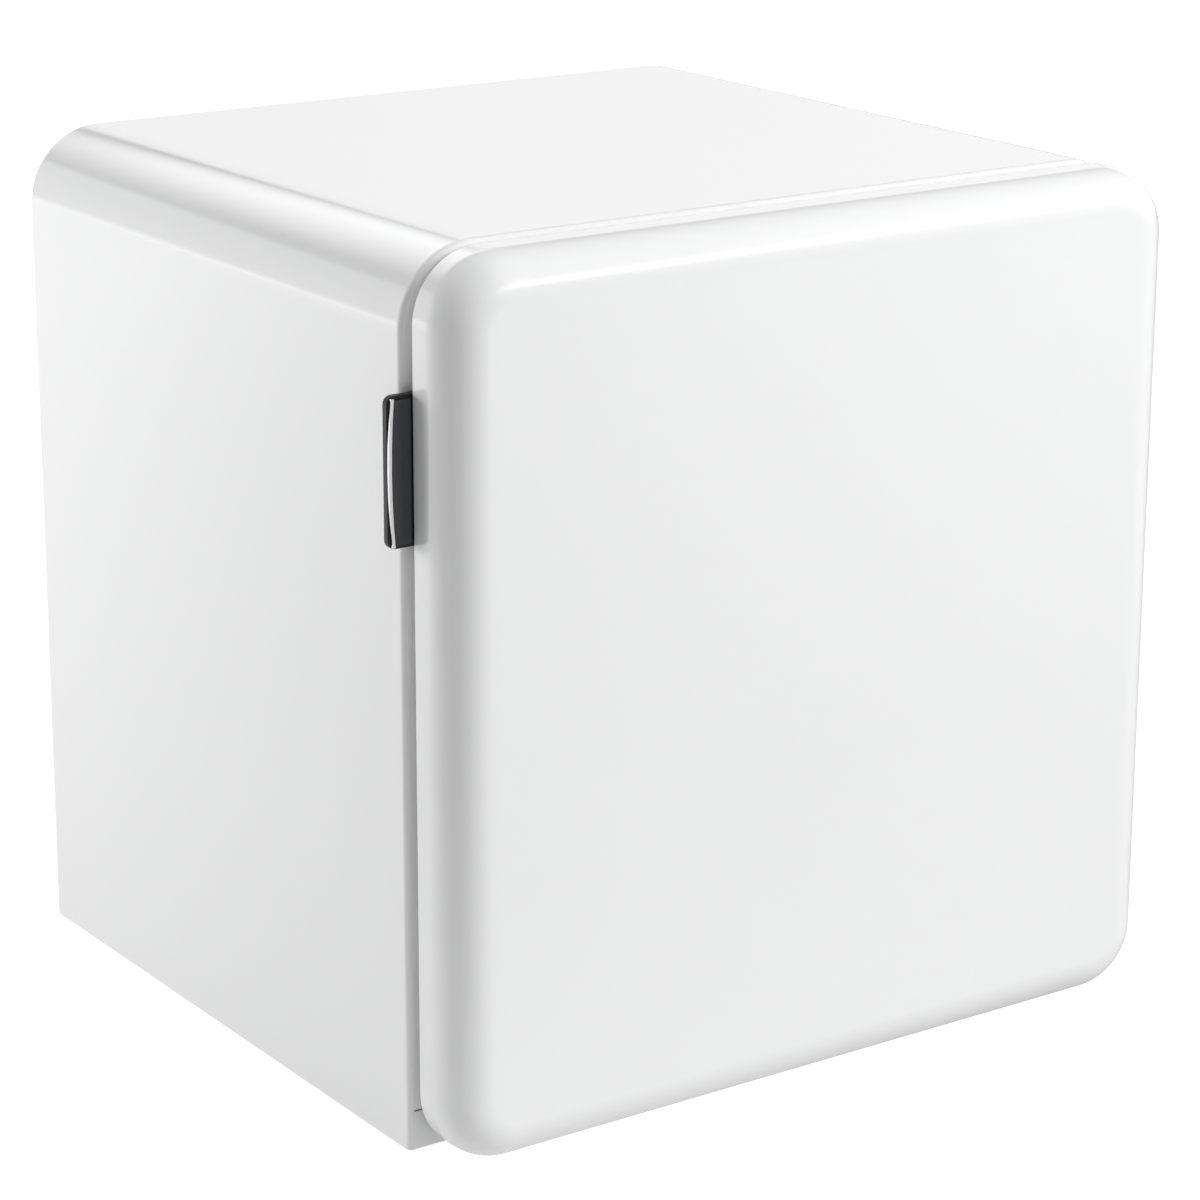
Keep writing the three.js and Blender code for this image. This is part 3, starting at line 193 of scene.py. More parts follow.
# A bare metal: rolled or drawn lines, and tarnish where the mottle is high.
def metalFinish(name, colour, tarnish, rough, lines, bump, tarnishShare=0.5):
    tree, shader = startFinish(name, {"Metallic": 1.0})
    streaks = useGroup(tree, rollStreaks, dict(zip(("Along X", "Along Y", "Along Z"), lines)))
    skin = useGroup(tree, skinGrain, {"Wave Scale": 60.0})
    aged = calc(tree, "MULTIPLY_ADD", skin["Mottle"], 2.4, -0.9, clamp=True)
    share = calc(tree, "MULTIPLY", aged, tarnishShare)
    plug(tree, shader["Base Color"], mixColours(tree, share, colour, tarnish))
    mixed = calc(tree, "MULTIPLY_ADD", aged, 0.4, streaks["Mask"])
    plug(tree, shader["Roughness"], roughRange(tree, mixed, *rough))
    plug(tree, shader["Normal"], bumpFrom(tree, streaks["Height"], *bump))
    return tree, shader


# Galvanised sheet: flat crystal fields of slightly different brightness.
def zincFinish(name):
    tree, shader = metalFinish(name, (0.56, 0.58, 0.6), (0.36, 0.37, 0.38), (0.28, 0.46),
                               (500.0, 500.0, 500.0), (0.15, 0.00005))
    fields = addNode(tree, "ShaderNodeTexVoronoi")
    plug(tree, fields.inputs["Scale"], 140.0)
    plug(tree, fields.inputs["Vector"], addNode(tree, "ShaderNodeTexCoord").outputs["Object"])
    tone = addNode(tree, "ShaderNodeSeparateColor")
    plug(tree, tone.inputs[0], fields.outputs["Color"])
    worn = shader["Base Color"].links[0].from_socket
    share = calc(tree, "MULTIPLY", tone.outputs[0], 0.35)
    plug(tree, shader["Base Color"], mixColours(tree, share, worn, (0.74, 0.76, 0.78)))


# Each skin: colour, its shade, roughness range, grain (wave, fine, share), bump (strength, depth), dust.
skinFinish("whiteEnamel", (0.875, 0.878, 0.88), (0.855, 0.858, 0.86), (0.08, 0.13), (260.0, 1400.0, 0.12),
           (0.12, 0.00012), (0.05, (0.7, 0.69, 0.67)), {"Coat Weight": 0.8, "Coat Roughness": 0.03})
skinFinish("backEnamel", (0.8, 0.805, 0.8), (0.74, 0.745, 0.74), (0.24, 0.38), (420.0, 2000.0, 0.4),
           (0.25, 0.00012), (0.5, (0.42, 0.4, 0.37)))
skinFinish("linerWhite", (0.83, 0.84, 0.835), (0.82, 0.83, 0.825), (0.26, 0.34), (520.0, 2600.0, 0.5),
           (0.2, 0.0001), (0.015, (0.7, 0.67, 0.6)))
skinFinish("blackMoulded", (0.008, 0.0085, 0.01), (0.013, 0.0135, 0.015), (0.34, 0.52), (1600.0, 4200.0, 0.7),
           (0.4, 0.0001), (0.12, (0.22, 0.21, 0.2)))
skinFinish("slatePad", (0.033, 0.041, 0.052), (0.041, 0.05, 0.062), (0.36, 0.5), (1800.0, 5000.0, 0.7),
           (0.45, 0.0001), (0.15, (0.3, 0.3, 0.3)))
skinFinish("blackRubber", (0.014, 0.014, 0.014), (0.026, 0.025, 0.024), (0.66, 0.88), (700.0, 3600.0, 0.8),
           (0.5, 0.00012), (0.8, (0.3, 0.28, 0.25)))
skinFinish("sealRubber", (0.74, 0.745, 0.73), (0.66, 0.66, 0.63), (0.4, 0.58), (600.0, 3000.0, 0.6),
           (0.3, 0.0001), (0.12, (0.4, 0.38, 0.34)))
skinFinish("blackPaint", (0.012, 0.012, 0.012), (0.022, 0.021, 0.02), (0.2, 0.42), (420.0, 2600.0, 0.5),
           (0.35, 0.00018), (0.3, (0.2, 0.19, 0.175)), {"Coat Weight": 0.2, "Coat Roughness": 0.15})
skinFinish("foamYellow", (0.8, 0.68, 0.38), (0.7, 0.56, 0.27), (0.8, 0.95), (260.0, 1200.0, 0.9),
           (0.9, 0.0006))
skinFinish("magnetBrown", (0.04, 0.032, 0.026), (0.06, 0.05, 0.04), (0.6, 0.8), (900.0, 3000.0, 0.5),
           (0.3, 0.0001))
skinFinish("wireCoat", (0.8, 0.81, 0.8), (0.74, 0.75, 0.74), (0.25, 0.4), (700.0, 2400.0, 0.5), (0.3, 0.0001))
skinFinish("dialInk", (0.09, 0.1, 0.11), (0.12, 0.13, 0.14), (0.5, 0.65), (2500.0, 6000.0, 0.5),
           (0.2, 0.00005))
skinFinish("clearStyrene", (0.95, 0.97, 0.98), (0.93, 0.955, 0.97), (0.05, 0.13), (140.0, 1800.0, 0.1),
           (0.08, 0.0002), (0.04, (0.6, 0.6, 0.58)), {"Transmission Weight": 0.82, "IOR": 1.49})
metalFinish("brightChrome", (0.92, 0.925, 0.93), (0.8, 0.81, 0.82), (0.12, 0.22), (900.0, 900.0, 30.0),
            (0.05, 0.00003), 0.2)
metalFinish("rolledAluminium", (0.72, 0.735, 0.75), (0.55, 0.56, 0.57), (0.26, 0.46), (900.0, 8.0, 900.0),
            (0.18, 0.00005))
metalFinish("copperPipe", (0.72, 0.36, 0.2), (0.36, 0.17, 0.1), (0.2, 0.42), (300.0, 300.0, 300.0),
            (0.12, 0.00005), 0.8)
zincFinish("zincSheet")
print("finishes made:", len(finishes))


def placeBox(bm, low, high):
    low, high = Vector(low), Vector(high)
    made = bmesh.ops.create_cube(bm, size=1)["verts"]
    bmesh.ops.scale(bm, vec=high - low, verts=made)
    bmesh.ops.translate(bm, vec=(low + high) / 2, verts=made)
    return made


def roundEdges(bm, edges, offset, segments, affect="EDGES"):
    return bmesh.ops.bevel(bm, geom=list(edges), offset=offset, segments=segments, profile=0.5,
                           affect=affect, material=-1, clamp_overlap=True)


def sharpEdges(bm, degrees=35):
    limit = math.radians(degrees)
    return [e for e in bm.edges if len(e.link_faces) == 2 and e.calc_face_angle() > limit]


def roundBox(bm, low, high, offset, segments=3):
    verts = placeBox(bm, low, high)
    roundEdges(bm, {e for v in verts for e in v.link_edges}, offset, segments)


# A closed line of edges round a rectangle with round corners, flat in X and Z (facing "y") or X and Y ("z").
def ringLine(bm, a0, a1, b0, b1, level, radius, segments=6, facing="y"):
    verts = bmesh.ops.create_grid(bm, x_segments=1, y_segments=1, size=0.5)["verts"]
    bmesh.ops.scale(bm, vec=(a1 - a0, b1 - b0, 1), verts=verts)
    bmesh.ops.translate(bm, vec=((a0 + a1) / 2, (b0 + b1) / 2, 0), verts=verts)
    if facing == "y":
        bmesh.ops.rotate(bm, verts=verts, cent=(0, 0, 0), matrix=Matrix.Rotation(math.pi / 2, 3, "X"))
        bmesh.ops.translate(bm, vec=(0, level, 0), verts=verts)
    else:
        bmesh.ops.translate(bm, vec=(0, 0, level), verts=verts)
    rounded = roundEdges(bm, verts, radius, segments, "VERTICES")
    face = next(f for v in rounded["verts"] for f in v.link_faces if len(f.verts) == 4 * (segments + 1))
    edges = list(face.edges)
    bmesh.ops.delete(bm, geom=[face], context="FACES_ONLY")
    return edges


# Lines in one plane only pair up corner to corner while one of them is held apart from the other.
def bridgeLines(bm, lines, closed=False):
    apart = Vector((0, 1, 0))
    pairs = list(zip(lines, lines[1:])) + ([(lines[-1], lines[0])] if closed else [])
    for first, second in pairs:
        moved = list({v for e in second for v in e.verts})
        bmesh.ops.translate(bm, vec=apart, verts=moved)
        bmesh.ops.bridge_loops(bm, edges=first + second)
        bmesh.ops.translate(bm, vec=-apart, verts=moved)


def cutSlot(bm, low, high):
    low, high = Vector(low), Vector(high)
    for axis in range(3):
        for level, reach in ((low, 1), (high, -1)):
            near = [f for f in bm.faces if all(
                min(v.co[k] for v in f.verts) < high[k] + mm and max(v.co[k] for v in f.verts) > low[k] - mm
                for k in range(3))]
            geom = near + list({e for f in near for e in f.edges}) + list({v for f in near for v in f.verts})
            normal = Vector((0, 0, 0))
            normal[axis] = 1
            bmesh.ops.bisect_plane(bm, geom=geom, dist=1e-6, plane_co=level, plane_no=normal)
    inside = [f for f in bm.faces if all(low[k] < f.calc_center_median()[k] < high[k] for k in range(3))]
    bmesh.ops.delete(bm, geom=inside, context="FACES")


def faceOutwards(bm, probe):
    bmesh.ops.recalc_face_normals(bm, faces=bm.faces)
    way = Vector(probe)
    furthest = max(bm.faces, key=lambda f: f.calc_center_median().dot(way) + 0.001 * abs(f.normal.dot(way)))
    if furthest.normal.dot(way) < 0:
        bmesh.ops.reverse_faces(bm, faces=bm.faces)


def putInScene(name, data):
    holder = bpy.data.objects.new(name, data)
    bpy.context.scene.collection.objects.link(holder)
    return holder


# Sheets with a wall are open shapes and get their thickness here. All others are closed.
def makePiece(bm, name, finish, stands=(), smooth=35, wall=None, body="cabinet"):
    bmesh.ops.remove_doubles(bm, verts=bm.verts, dist=1e-6)
    if not wall:
        bmesh.ops.recalc_face_normals(bm, faces=bm.faces)
    for face in bm.faces:
        face.smooth = True
    limit = math.radians(smooth)
    for edge in bm.edges:
        edge.smooth = len(edge.link_faces) != 2 or edge.calc_face_angle() < limit
    mesh = bpy.data.meshes.new(name)
    bm.to_mesh(mesh)
    bm.free()
    piece = putInScene(name, mesh)
    piece.data.materials.append(finishes[finish])
    if wall:
        thick = piece.modifiers.new("sheet", "SOLIDIFY")
        thick.thickness, thick.offset, thick.use_even_offset = wall, -1, True
    shade = piece.modifiers.new("evenShade", "WEIGHTED_NORMAL")
    shade.keep_sharp = True
    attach(piece, body)
    if stands:
        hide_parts(*stands)


def cleanCopy(node):
    bm = bmesh.new()
    bm.from_mesh(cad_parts[node].data)
    bmesh.ops.remove_doubles(bm, verts=bm.verts, dist=1e-5)
    bmesh.ops.dissolve_limit(bm, angle_limit=math.radians(1), verts=bm.verts, edges=bm.edges)
    return bm


# A CAD node's own shape with its vertices merged, its flat faces cleaned and its edges rounded.
def softenedCopy(node, name, finish, offset, segments=2, also=None, body="cabinet"):
    bm = cleanCopy(node)
    if offset:
        roundEdges(bm, sharpEdges(bm), offset, segments)
    if also:
        also(bm)
    makePiece(bm, name, finish, (node,), body=body)


def meshOf(holder):
    bpy.context.view_layer.update()
    return bpy.data.meshes.new_from_object(holder.evaluated_get(bpy.context.evaluated_depsgraph_get()))


# Round bars and pipes: every line of points gets a tube round it. All in one mesh.
def tubeMesh(bm, lines, radius, sides=10, smoothLine=False):
    curve = bpy.data.curves.new("line", "CURVE")
    curve.dimensions, curve.bevel_depth, curve.use_fill_caps = "3D", radius, True
    curve.bevel_resolution, curve.resolution_u = max(0, sides // 2 - 2), 6     # pieces between two points
    for points in lines:
        spline = curve.splines.new("BEZIER" if smoothLine else "POLY")
        if smoothLine:
            spline.bezier_points.add(len(points) - 1)
            for knot, point in zip(spline.bezier_points, points):
                knot.co = point
                knot.handle_left_type = knot.handle_right_type = "AUTO"
        else:
            spline.points.add(len(points) - 1)
            for knot, point in zip(spline.points, points):
                knot.co = (*point, 1)
    holder = putInScene("line", curve)
    shaped = meshOf(holder)
    bm.from_mesh(shaped)
    bpy.data.objects.remove(holder)
    bpy.data.meshes.remove(shaped)
    bpy.data.curves.remove(curve)


# A shape turned about an upright line through "centre": profile points are (radius, height).
def turnShape(bm, profile, centre, steps=48, axis=(0, 0, 1)):
    before = set(bm.verts)
    verts = [bm.verts.new((radius, 0, height)) for radius, height in profile]
    edges = [bm.edges.new(pair) for pair in zip(verts, verts[1:])]
    bmesh.ops.spin(bm, geom=verts + edges, cent=(0, 0, 0), axis=(0, 0, 1), dvec=(0, 0, 0),
                   angle=2 * math.pi, steps=steps, use_merge=True)
    made = [v for v in bm.verts if v not in before]
    turn = Vector((0, 0, 1)).rotation_difference(Vector(axis)).to_matrix()
    bmesh.ops.rotate(bm, verts=made, cent=(0, 0, 0), matrix=turn)
    bmesh.ops.translate(bm, vec=Vector(centre), verts=made)
    bmesh.ops.remove_doubles(bm, verts=made, dist=1e-6)


shell = {"shoulder": 40 * mm, "shoulderSteps": 28, "frontBend": 3 * mm, "flange": 26 * mm,
         "lipBottom": 38 * mm, "barTop": 20.5 * mm, "hem": 8 * mm, "rearBend": 1.2 * mm, "sheet": 1 * mm}
shellLow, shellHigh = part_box("cabinet_shell")


def facesLooking(bm, axis, sign):
    return [f for f in bm.faces if f.normal[axis] * sign > 0.99]


def largest(faces):
    return max(faces, key=lambda f: f.calc_area())


def edgesAboveFloor(face):
    return [e for e in face.edges if not all(v.co.z < shellLow.z + mm for v in e.verts)]


def makeShell():
    bm = bmesh.new()
    placeBox(bm, shellLow, shellHigh)
    shoulders = [e for e in bm.edges if all(v.co.z > shellHigh.z - mm for v in e.verts)
                 and abs(e.verts[0].co.x - e.verts[1].co.x) < mm]
    roundEdges(bm, shoulders, shell["shoulder"], shell["shoulderSteps"])
    bmesh.ops.delete(bm, geom=facesLooking(bm, 2, -1), context="FACES_ONLY")
    roundEdges(bm, edgesAboveFloor(facesLooking(bm, 1, -1)[0]), shell["frontBend"], 5)
    roundEdges(bm, edgesAboveFloor(facesLooking(bm, 1, 1)[0]), shell["rearBend"], 3)
    front = largest(facesLooking(bm, 1, -1))
    bmesh.ops.inset_region(bm, faces=[front], thickness=shell["flange"] - shell["frontBend"],
                           use_boundary=True, use_even_offset=True)
    mouthLow = [v for v in front.verts if v.co.z < shellLow.z + shell["flange"] + mm]
    bmesh.ops.translate(bm, vec=(0, 0, shellLow.z + shell["lipBottom"] - mouthLow[0].co.z), verts=mouthLow)
    rear = largest(facesLooking(bm, 1, 1))
    bmesh.ops.inset_region(bm, faces=[rear], thickness=shell["hem"], use_boundary=True, use_even_offset=True)
    bmesh.ops.delete(bm, geom=[front, rear], context="FACES")
    hemFloor = [f for f in facesLooking(bm, 1, 1) if f.calc_center_median().z < shellLow.z + shell["hem"]]
    bmesh.ops.delete(bm, geom=hemFloor, context="FACES")
    cutSlot(bm, (shellLow.x + shell["frontBend"], shellLow.y - mm, shellLow.z - mm),
            (shellHigh.x - shell["frontBend"], shellLow.y + 0.5 * mm, shellLow.z + shell["barTop"]))
    faceOutwards(bm, (0, 0, 1))
    makePiece(bm, "cabinet_skin", "whiteEnamel", ("cabinet_shell",), 40, shell["sheet"])


def makeBar():
    softenedCopy("front_bottom_bar", "bottom_bar", "whiteEnamel", 0.35 * mm, 3)


panel = {"margin": 26 * mm, "beadWidth": 16 * mm, "beadHeight": 0.7 * mm, "beadSlope": 3 * mm, "rows": 3,
         "sunk": 0.2 * mm}


def makeRearPanel():
    low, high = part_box("rear_panel")
    bm = cleanCopy("rear_panel")
    left, right = low.x + panel["margin"], high.x - panel["margin"]
    rise = (high.z - low.z - 2 * panel["margin"] - panel["rows"] * panel["beadWidth"]) / (panel["rows"] - 1)
    radius, slope = panel["beadWidth"] / 2 - panel["sunk"], panel["beadSlope"]
    for row in range(panel["rows"]):     # long pressed beads that stand out of the sheet
        z0 = low.z + panel["margin"] + row * (rise + panel["beadWidth"])
        z1 = z0 + panel["beadWidth"]
        foot = ringLine(bm, left, right, z0, z1, high.y - panel["sunk"], radius)
        crest = ringLine(bm, left + slope, right - slope, z0 + slope, z1 - slope,
                         high.y + panel["beadHeight"], radius - slope)
        bridgeLines(bm, [foot, crest])
        bmesh.ops.contextual_create(bm, geom=crest)
        roundEdges(bm, crest, 0.6 * mm, 2)
    makePiece(bm, "rear_sheet", "backEnamel", ("rear_panel",), 50)


makeShell()
makeBar()
makeRearPanel()
print("cabinet skins made")


room = {"corner": 12 * mm, "nose": 4 * mm, "cornerSteps": 4, "lip": 14 * mm, "lipCorner": 20 * mm,
        "lipBend": 3 * mm, "wall": 1.8 * mm, "ribReach": 6 * mm, "ribHeight": 5 * mm, "ribFront": 28 * mm,
        "ribRear": 12 * mm, "underShelf": 0.3 * mm, "bayDepth": 125 * mm, "bayWall": 26 * mm}
linerLow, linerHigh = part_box("inner_liner")
cavity = {"x0": linerLow.x + room["lip"], "x1": linerHigh.x - room["lip"], "z0": linerLow.z + room["lip"],
          "z1": linerHigh.z - room["lip"], "y1": linerHigh.y - room["wall"], "y0": linerLow.y}
shelfLow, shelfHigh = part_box("shelf")
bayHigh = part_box("bottom_plate")[1]
stepTop = bayHigh.z - mm + room["bayWall"]
stepFront = shellHigh.y - room["bayDepth"] - room["bayWall"]


def stepNose(bm):
    return [e for e in bm.edges if all(abs(v.co.y - stepFront) + abs(v.co.z - stepTop) < mm for v in e.verts)]


def liesAt(item, level):
    return all(abs(v.co.y - level) < mm / 10 for v in item.verts)


# Sharp corners between faces that lie in one level plane and faces that leave it.
def bendsAt(bm, level):
    return [e for e in bm.edges if liesAt(e, level) and len(e.link_faces) == 2 and e.calc_face_angle() > 1]


def makeRoom():
    bm = bmesh.new()
    c = cavity
    outline = [(c["y0"], c["z0"]), (stepFront, c["z0"]), (stepFront, stepTop), (c["y1"], stepTop),
               (c["y1"], c["z1"]), (c["y0"], c["z1"])]
    side = bm.faces.new([bm.verts.new((c["x0"], y, z)) for y, z in outline])
    pushed = bmesh.ops.extrude_face_region(bm, geom=[side])["geom"]
    bmesh.ops.translate(bm, vec=(c["x1"] - c["x0"], 0, 0),
                        verts=[g for g in pushed if isinstance(g, bmesh.types.BMVert)])
    bmesh.ops.recalc_face_normals(bm, faces=bm.faces)
    mouth = next(f for f in bm.faces if liesAt(f, c["y0"]))
    kept = set(mouth.edges) | set(stepNose(bm))
    roundEdges(bm, [e for e in bm.edges if e not in kept], room["corner"], room["cornerSteps"])
    roundEdges(bm, stepNose(bm), room["nose"], 4)
    mouth = [f for f in bm.faces if liesAt(f, c["y0"])]
    lipEdges = list(mouth[0].edges)
    bmesh.ops.delete(bm, geom=mouth, context="FACES_ONLY")
    edge = ringLine(bm, linerLow.x, linerHigh.x, linerLow.z, linerHigh.z, c["y0"], room["lipCorner"],
                    room["cornerSteps"])
    bridgeLines(bm, [lipEdges, edge])
    roundEdges(bm, bendsAt(bm, c["y0"]), room["lipBend"], 3)
    bmesh.ops.recalc_face_normals(bm, faces=bm.faces)
    back = max(bm.faces, key=lambda f: f.calc_center_median().y)
    if back.normal.y > 0:
        bmesh.ops.reverse_faces(bm, faces=bm.faces)
    makePiece(bm, "cold_room", "linerWhite", ("inner_liner",), 40, room["wall"])
    bm = bmesh.new()
    top = shelfLow.z - room["underShelf"]
    for wall, way in ((c["x0"], 1), (c["x1"], -1)):
        ends = (wall - way * mm, wall + way * room["ribReach"])
        roundBox(bm, (min(ends), shelfLow.y - room["ribFront"], top - room["ribHeight"]),
                 (max(ends), c["y1"] - room["ribRear"], top), 1.6 * mm, 3)
    makePiece(bm, "shelf_ribs", "linerWhite")


shelf = {"frameWire": 2.2 * mm, "wire": 1.35 * mm, "count": 22, "corner": 14 * mm, "bendStep": 15,
         "endDrop": 0.6 * mm}


def makeShelf():
    bm = bmesh.new()
    x0, x1 = shelfLow.x + shelf["frameWire"], shelfHigh.x - shelf["frameWire"]
    y0, y1 = shelfLow.y + shelf["frameWire"], shelfHigh.y - shelf["frameWire"]
    level = shelfLow.z + shelf["frameWire"]
    ring = []
    for cx, cy, start in ((x1, y0, -90), (x1, y1, 0), (x0, y1, 90), (x0, y0, 180)):
        inX, inY = (-1 if cx == x1 else 1), (-1 if cy == y1 else 1)
        for step in range(90 // shelf["bendStep"] + 1):
            angle = math.radians(start + shelf["bendStep"] * step)
            ring.append((cx + inX * shelf["corner"] + shelf["corner"] * math.cos(angle),
                         cy + inY * shelf["corner"] + shelf["corner"] * math.sin(angle), level))
    middle = (y0 + y1) / 2
    cross = [(x0, middle, level), (x1, middle, level)]
    tubeMesh(bm, [ring + ring[:2], cross], shelf["frameWire"] - 0.3 * mm, 12)
    upper = shelfHigh.z - shelf["wire"]
    gap = (x1 - x0 - 2 * shelf["corner"]) / (shelf["count"] - 1)
    bars = []
    for i in range(shelf["count"]):
        x = x0 + shelf["corner"] + i * gap
        bars.append([(x, y0 - mm, upper - shelf["endDrop"]), (x, y0 + 3 * mm, upper),
                     (x, y1 - 3 * mm, upper), (x, y1 + mm, upper - shelf["endDrop"])])
    tubeMesh(bm, bars, shelf["wire"], 8)
    makePiece(bm, "wire_shelf", "wireCoat", ("shelf",), 50)


ice = {"channel": 3.2 * mm, "sunk": 0.6 * mm, "runs": 6, "sideRuns": 4, "sideStep": 16 * mm,
       "margin": 24 * mm, "endMargin": 14 * mm}


# Pressed refrigerant channels on the underside and the two sides of the ice box.
def addChannels(bm):
    low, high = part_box("evaporator")
    y0, y1 = low.y + ice["endMargin"], high.y - ice["endMargin"]
    x0, x1 = low.x + ice["margin"], high.x - ice["margin"]
    path = []
    for i in range(ice["runs"]):
        y = y0 + i * (y1 - y0) / (ice["runs"] - 1)
        ends = (x0, x1) if i % 2 == 0 else (x1, x0)
        path += [(x, y, low.z + ice["sunk"]) for x in ends]
    lines = [path]
    for x in (low.x + ice["sunk"], high.x - ice["sunk"]):
        path = []
        for i in range(ice["sideRuns"]):
            ends = (y0, y1) if i % 2 == 0 else (y1, y0)
            path += [(x, y, low.z + ice["margin"] + i * ice["sideStep"]) for y in ends]
        lines.append(path)
    tubeMesh(bm, lines, ice["channel"], 12)


def makeIceBox():
    softenedCopy("evaporator", "ice_box", "rolledAluminium", 0.7 * mm, 3, addChannels)
    softenedCopy("evaporator_hanger", "ice_box_hanger", "linerWhite", 1.5 * mm, 3)
    softenedCopy("ice_box_frame", "ice_box_frame_moulded", "linerWhite", 1.2 * mm, 3)
    softenedCopy("freezer_flap", "freezer_door", "clearStyrene", 0.8 * mm, 3, body="freezer_flap")
    for side in ("left", "right"):
        softenedCopy("tray_rail_" + side, "rail_" + side, "linerWhite", 0.35 * mm)
    softenedCopy("drip_tray", "tray", "clearStyrene", 0.7 * mm, 3, body="drip_tray")


dial = {"ridges": 36, "ridgeDepth": 0.45 * mm, "rim": 14 * mm, "tall": 10.2 * mm, "bar": 4.2 * mm,
        "barLength": 14 * mm, "stem": 2.9 * mm, "stemLength": 13 * mm, "figure": 3.4 * mm,
        "figureRadius": 10.2 * mm, "figures": "1234567", "firstFigure": 225, "figureStep": 45}
knobLow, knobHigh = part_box("thermostat_knob")
knobCentre = (knobLow + knobHigh) / 2


def makeThermostat():
    softenedCopy("thermostat_housing", "thermostat_cover", "linerWhite", 1.2 * mm, 3)
    x, z, face, rim = knobCentre.x, knobCentre.z, knobLow.y, dial["rim"]
    bm = bmesh.new()
    profile = [(0, 0), (rim - 0.9 * mm, 0), (rim - 0.2 * mm, 0.7 * mm), (rim, 2 * mm),
               (rim - 0.4 * mm, dial["tall"]), (0, dial["tall"])]
    turnShape(bm, profile, (x, face + 0.5 * mm, z), dial["ridges"] * 2, (0, 1, 0))
    for vert in bm.verts:     # a milled rim
        offset = Vector((vert.co.x - x, 0, vert.co.z - z))
        turn = math.degrees(math.atan2(offset.z, offset.x)) % (360 / dial["ridges"])
        onRim = offset.length > rim - 0.7 * mm and vert.co.y > face + 2 * mm
        if onRim and turn > 90 / dial["ridges"]:
            vert.co -= offset.normalized() * dial["ridgeDepth"]
    roundBox(bm, (x - dial["bar"] / 2, face, z - dial["barLength"] / 2),
             (x + dial["bar"] / 2, face + 2 * mm, z + dial["barLength"] / 2), 0.5 * mm, 3)
    turnShape(bm, [(0, 0), (dial["stem"], 0), (dial["stem"], dial["stemLength"]), (0, dial["stemLength"])],
              (x, knobHigh.y - dial["stemLength"] - mm, z), 24, (0, 1, 0))
    makePiece(bm, "thermostat_dial", "linerWhite", ("thermostat_knob",), 30, body="thermostat_knob")
    bm = bmesh.new()
    for i, figure in enumerate(dial["figures"]):
        text = bpy.data.curves.new("figure", "FONT")
        text.body, text.size, text.extrude = figure, dial["figure"], 0.08 * mm
        text.align_x, text.align_y = "CENTER", "CENTER"
        holder = putInScene("figure", text)
        shaped = meshOf(holder)
        angle = math.radians(dial["firstFigure"] - i * dial["figureStep"])
        place = Vector((x + dial["figureRadius"] * math.cos(angle), face + 0.45 * mm,
                        z + dial["figureRadius"] * math.sin(angle)))
        turn = Matrix.Rotation(math.pi / 2, 4, "X") @ Matrix.Rotation(angle - math.pi / 2, 4, "Z")
        shaped.transform(Matrix.Translation(place) @ turn)
        bm.from_mesh(shaped)
        bpy.data.objects.remove(holder)
        bpy.data.curves.remove(text)
    makePiece(bm, "dial_figures", "dialInk", body="thermostat_knob")


makeRoom()
makeShelf()
makeIceBox()
makeThermostat()
print("cold room made")


door = {"corner": 35 * mm, "cornerSteps": 22, "fillet": 22 * mm, "filletSteps": 18, "rearBend": 1 * mm,
        "sheet": 1 * mm, "flange": 28.5 * mm, "slotHalf": 2.5 * mm, "topShift": -3.2 * mm,
        "bottomShift": 16.5 * mm}
doorLow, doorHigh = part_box("door_shell")
pinLow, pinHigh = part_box("hinge_pin_lower")
pinX, pinY = (pinLow.x + pinHigh.x) / 2, (pinLow.y + pinHigh.y) / 2
earLevels = [pinLow.z + 1.5 * mm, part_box("hinge_pin_upper")[1].z - 1.5 * mm]


def cutEarSlots(bm):
    for level in earLevels:
        cutSlot(bm, (pinX - 6 * mm, pinY - 13 * mm, level - door["slotHalf"]),
                (doorHigh.x + 5 * mm, doorHigh.y + 9 * mm, level + door["slotHalf"]))


def makeDoorSkin():
    bm = bmesh.new()
    placeBox(bm, doorLow, doorHigh)
    roundEdges(bm, [e for e in bm.edges if abs(e.verts[0].co.y - e.verts[1].co.y) > mm],
               door["corner"], door["cornerSteps"])
    front = facesLooking(bm, 1, -1)[0]
    roundEdges(bm, list(front.edges), door["fillet"], door["filletSteps"])
    rear = largest(facesLooking(bm, 1, 1))
    roundEdges(bm, list(rear.edges), door["rearBend"], 3)
    rear = largest(facesLooking(bm, 1, 1))
    bmesh.ops.inset_region(bm, faces=[rear], thickness=door["flange"] - door["rearBend"],
                           use_even_offset=True)
    middle = (doorLow.z + doorHigh.z) / 2
    for above, shift in ((True, door["topShift"]), (False, door["bottomShift"])):
        verts = [v for v in rear.verts if (v.co.z > middle) == above]
        bmesh.ops.translate(bm, vec=(0, 0, shift), verts=verts)
    bmesh.ops.delete(bm, geom=[rear], context="FACES")
    cutEarSlots(bm)
    faceOutwards(bm, (0, -1, 0))
    makePiece(bm, "door_skin", "whiteEnamel", ("door_shell",), 40, door["sheet"], "door")


ridge = {"inset": 9 * mm, "corner": 12 * mm, "innerCorner": 6 * mm, "width": 16 * mm, "round": 4 * mm,
         "foot": 2.5 * mm, "wall": 1.6 * mm, "panelCorner": 32.5 * mm, "panelSunk": 1.3 * mm}
lug = {"reach": 2.9 * mm, "root": 1.5 * mm, "front": 1.2 * mm, "rear": 8.8 * mm, "bottom": 12 * mm,
       "top": 26 * mm}
doorLinerLow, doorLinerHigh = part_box("door_liner")


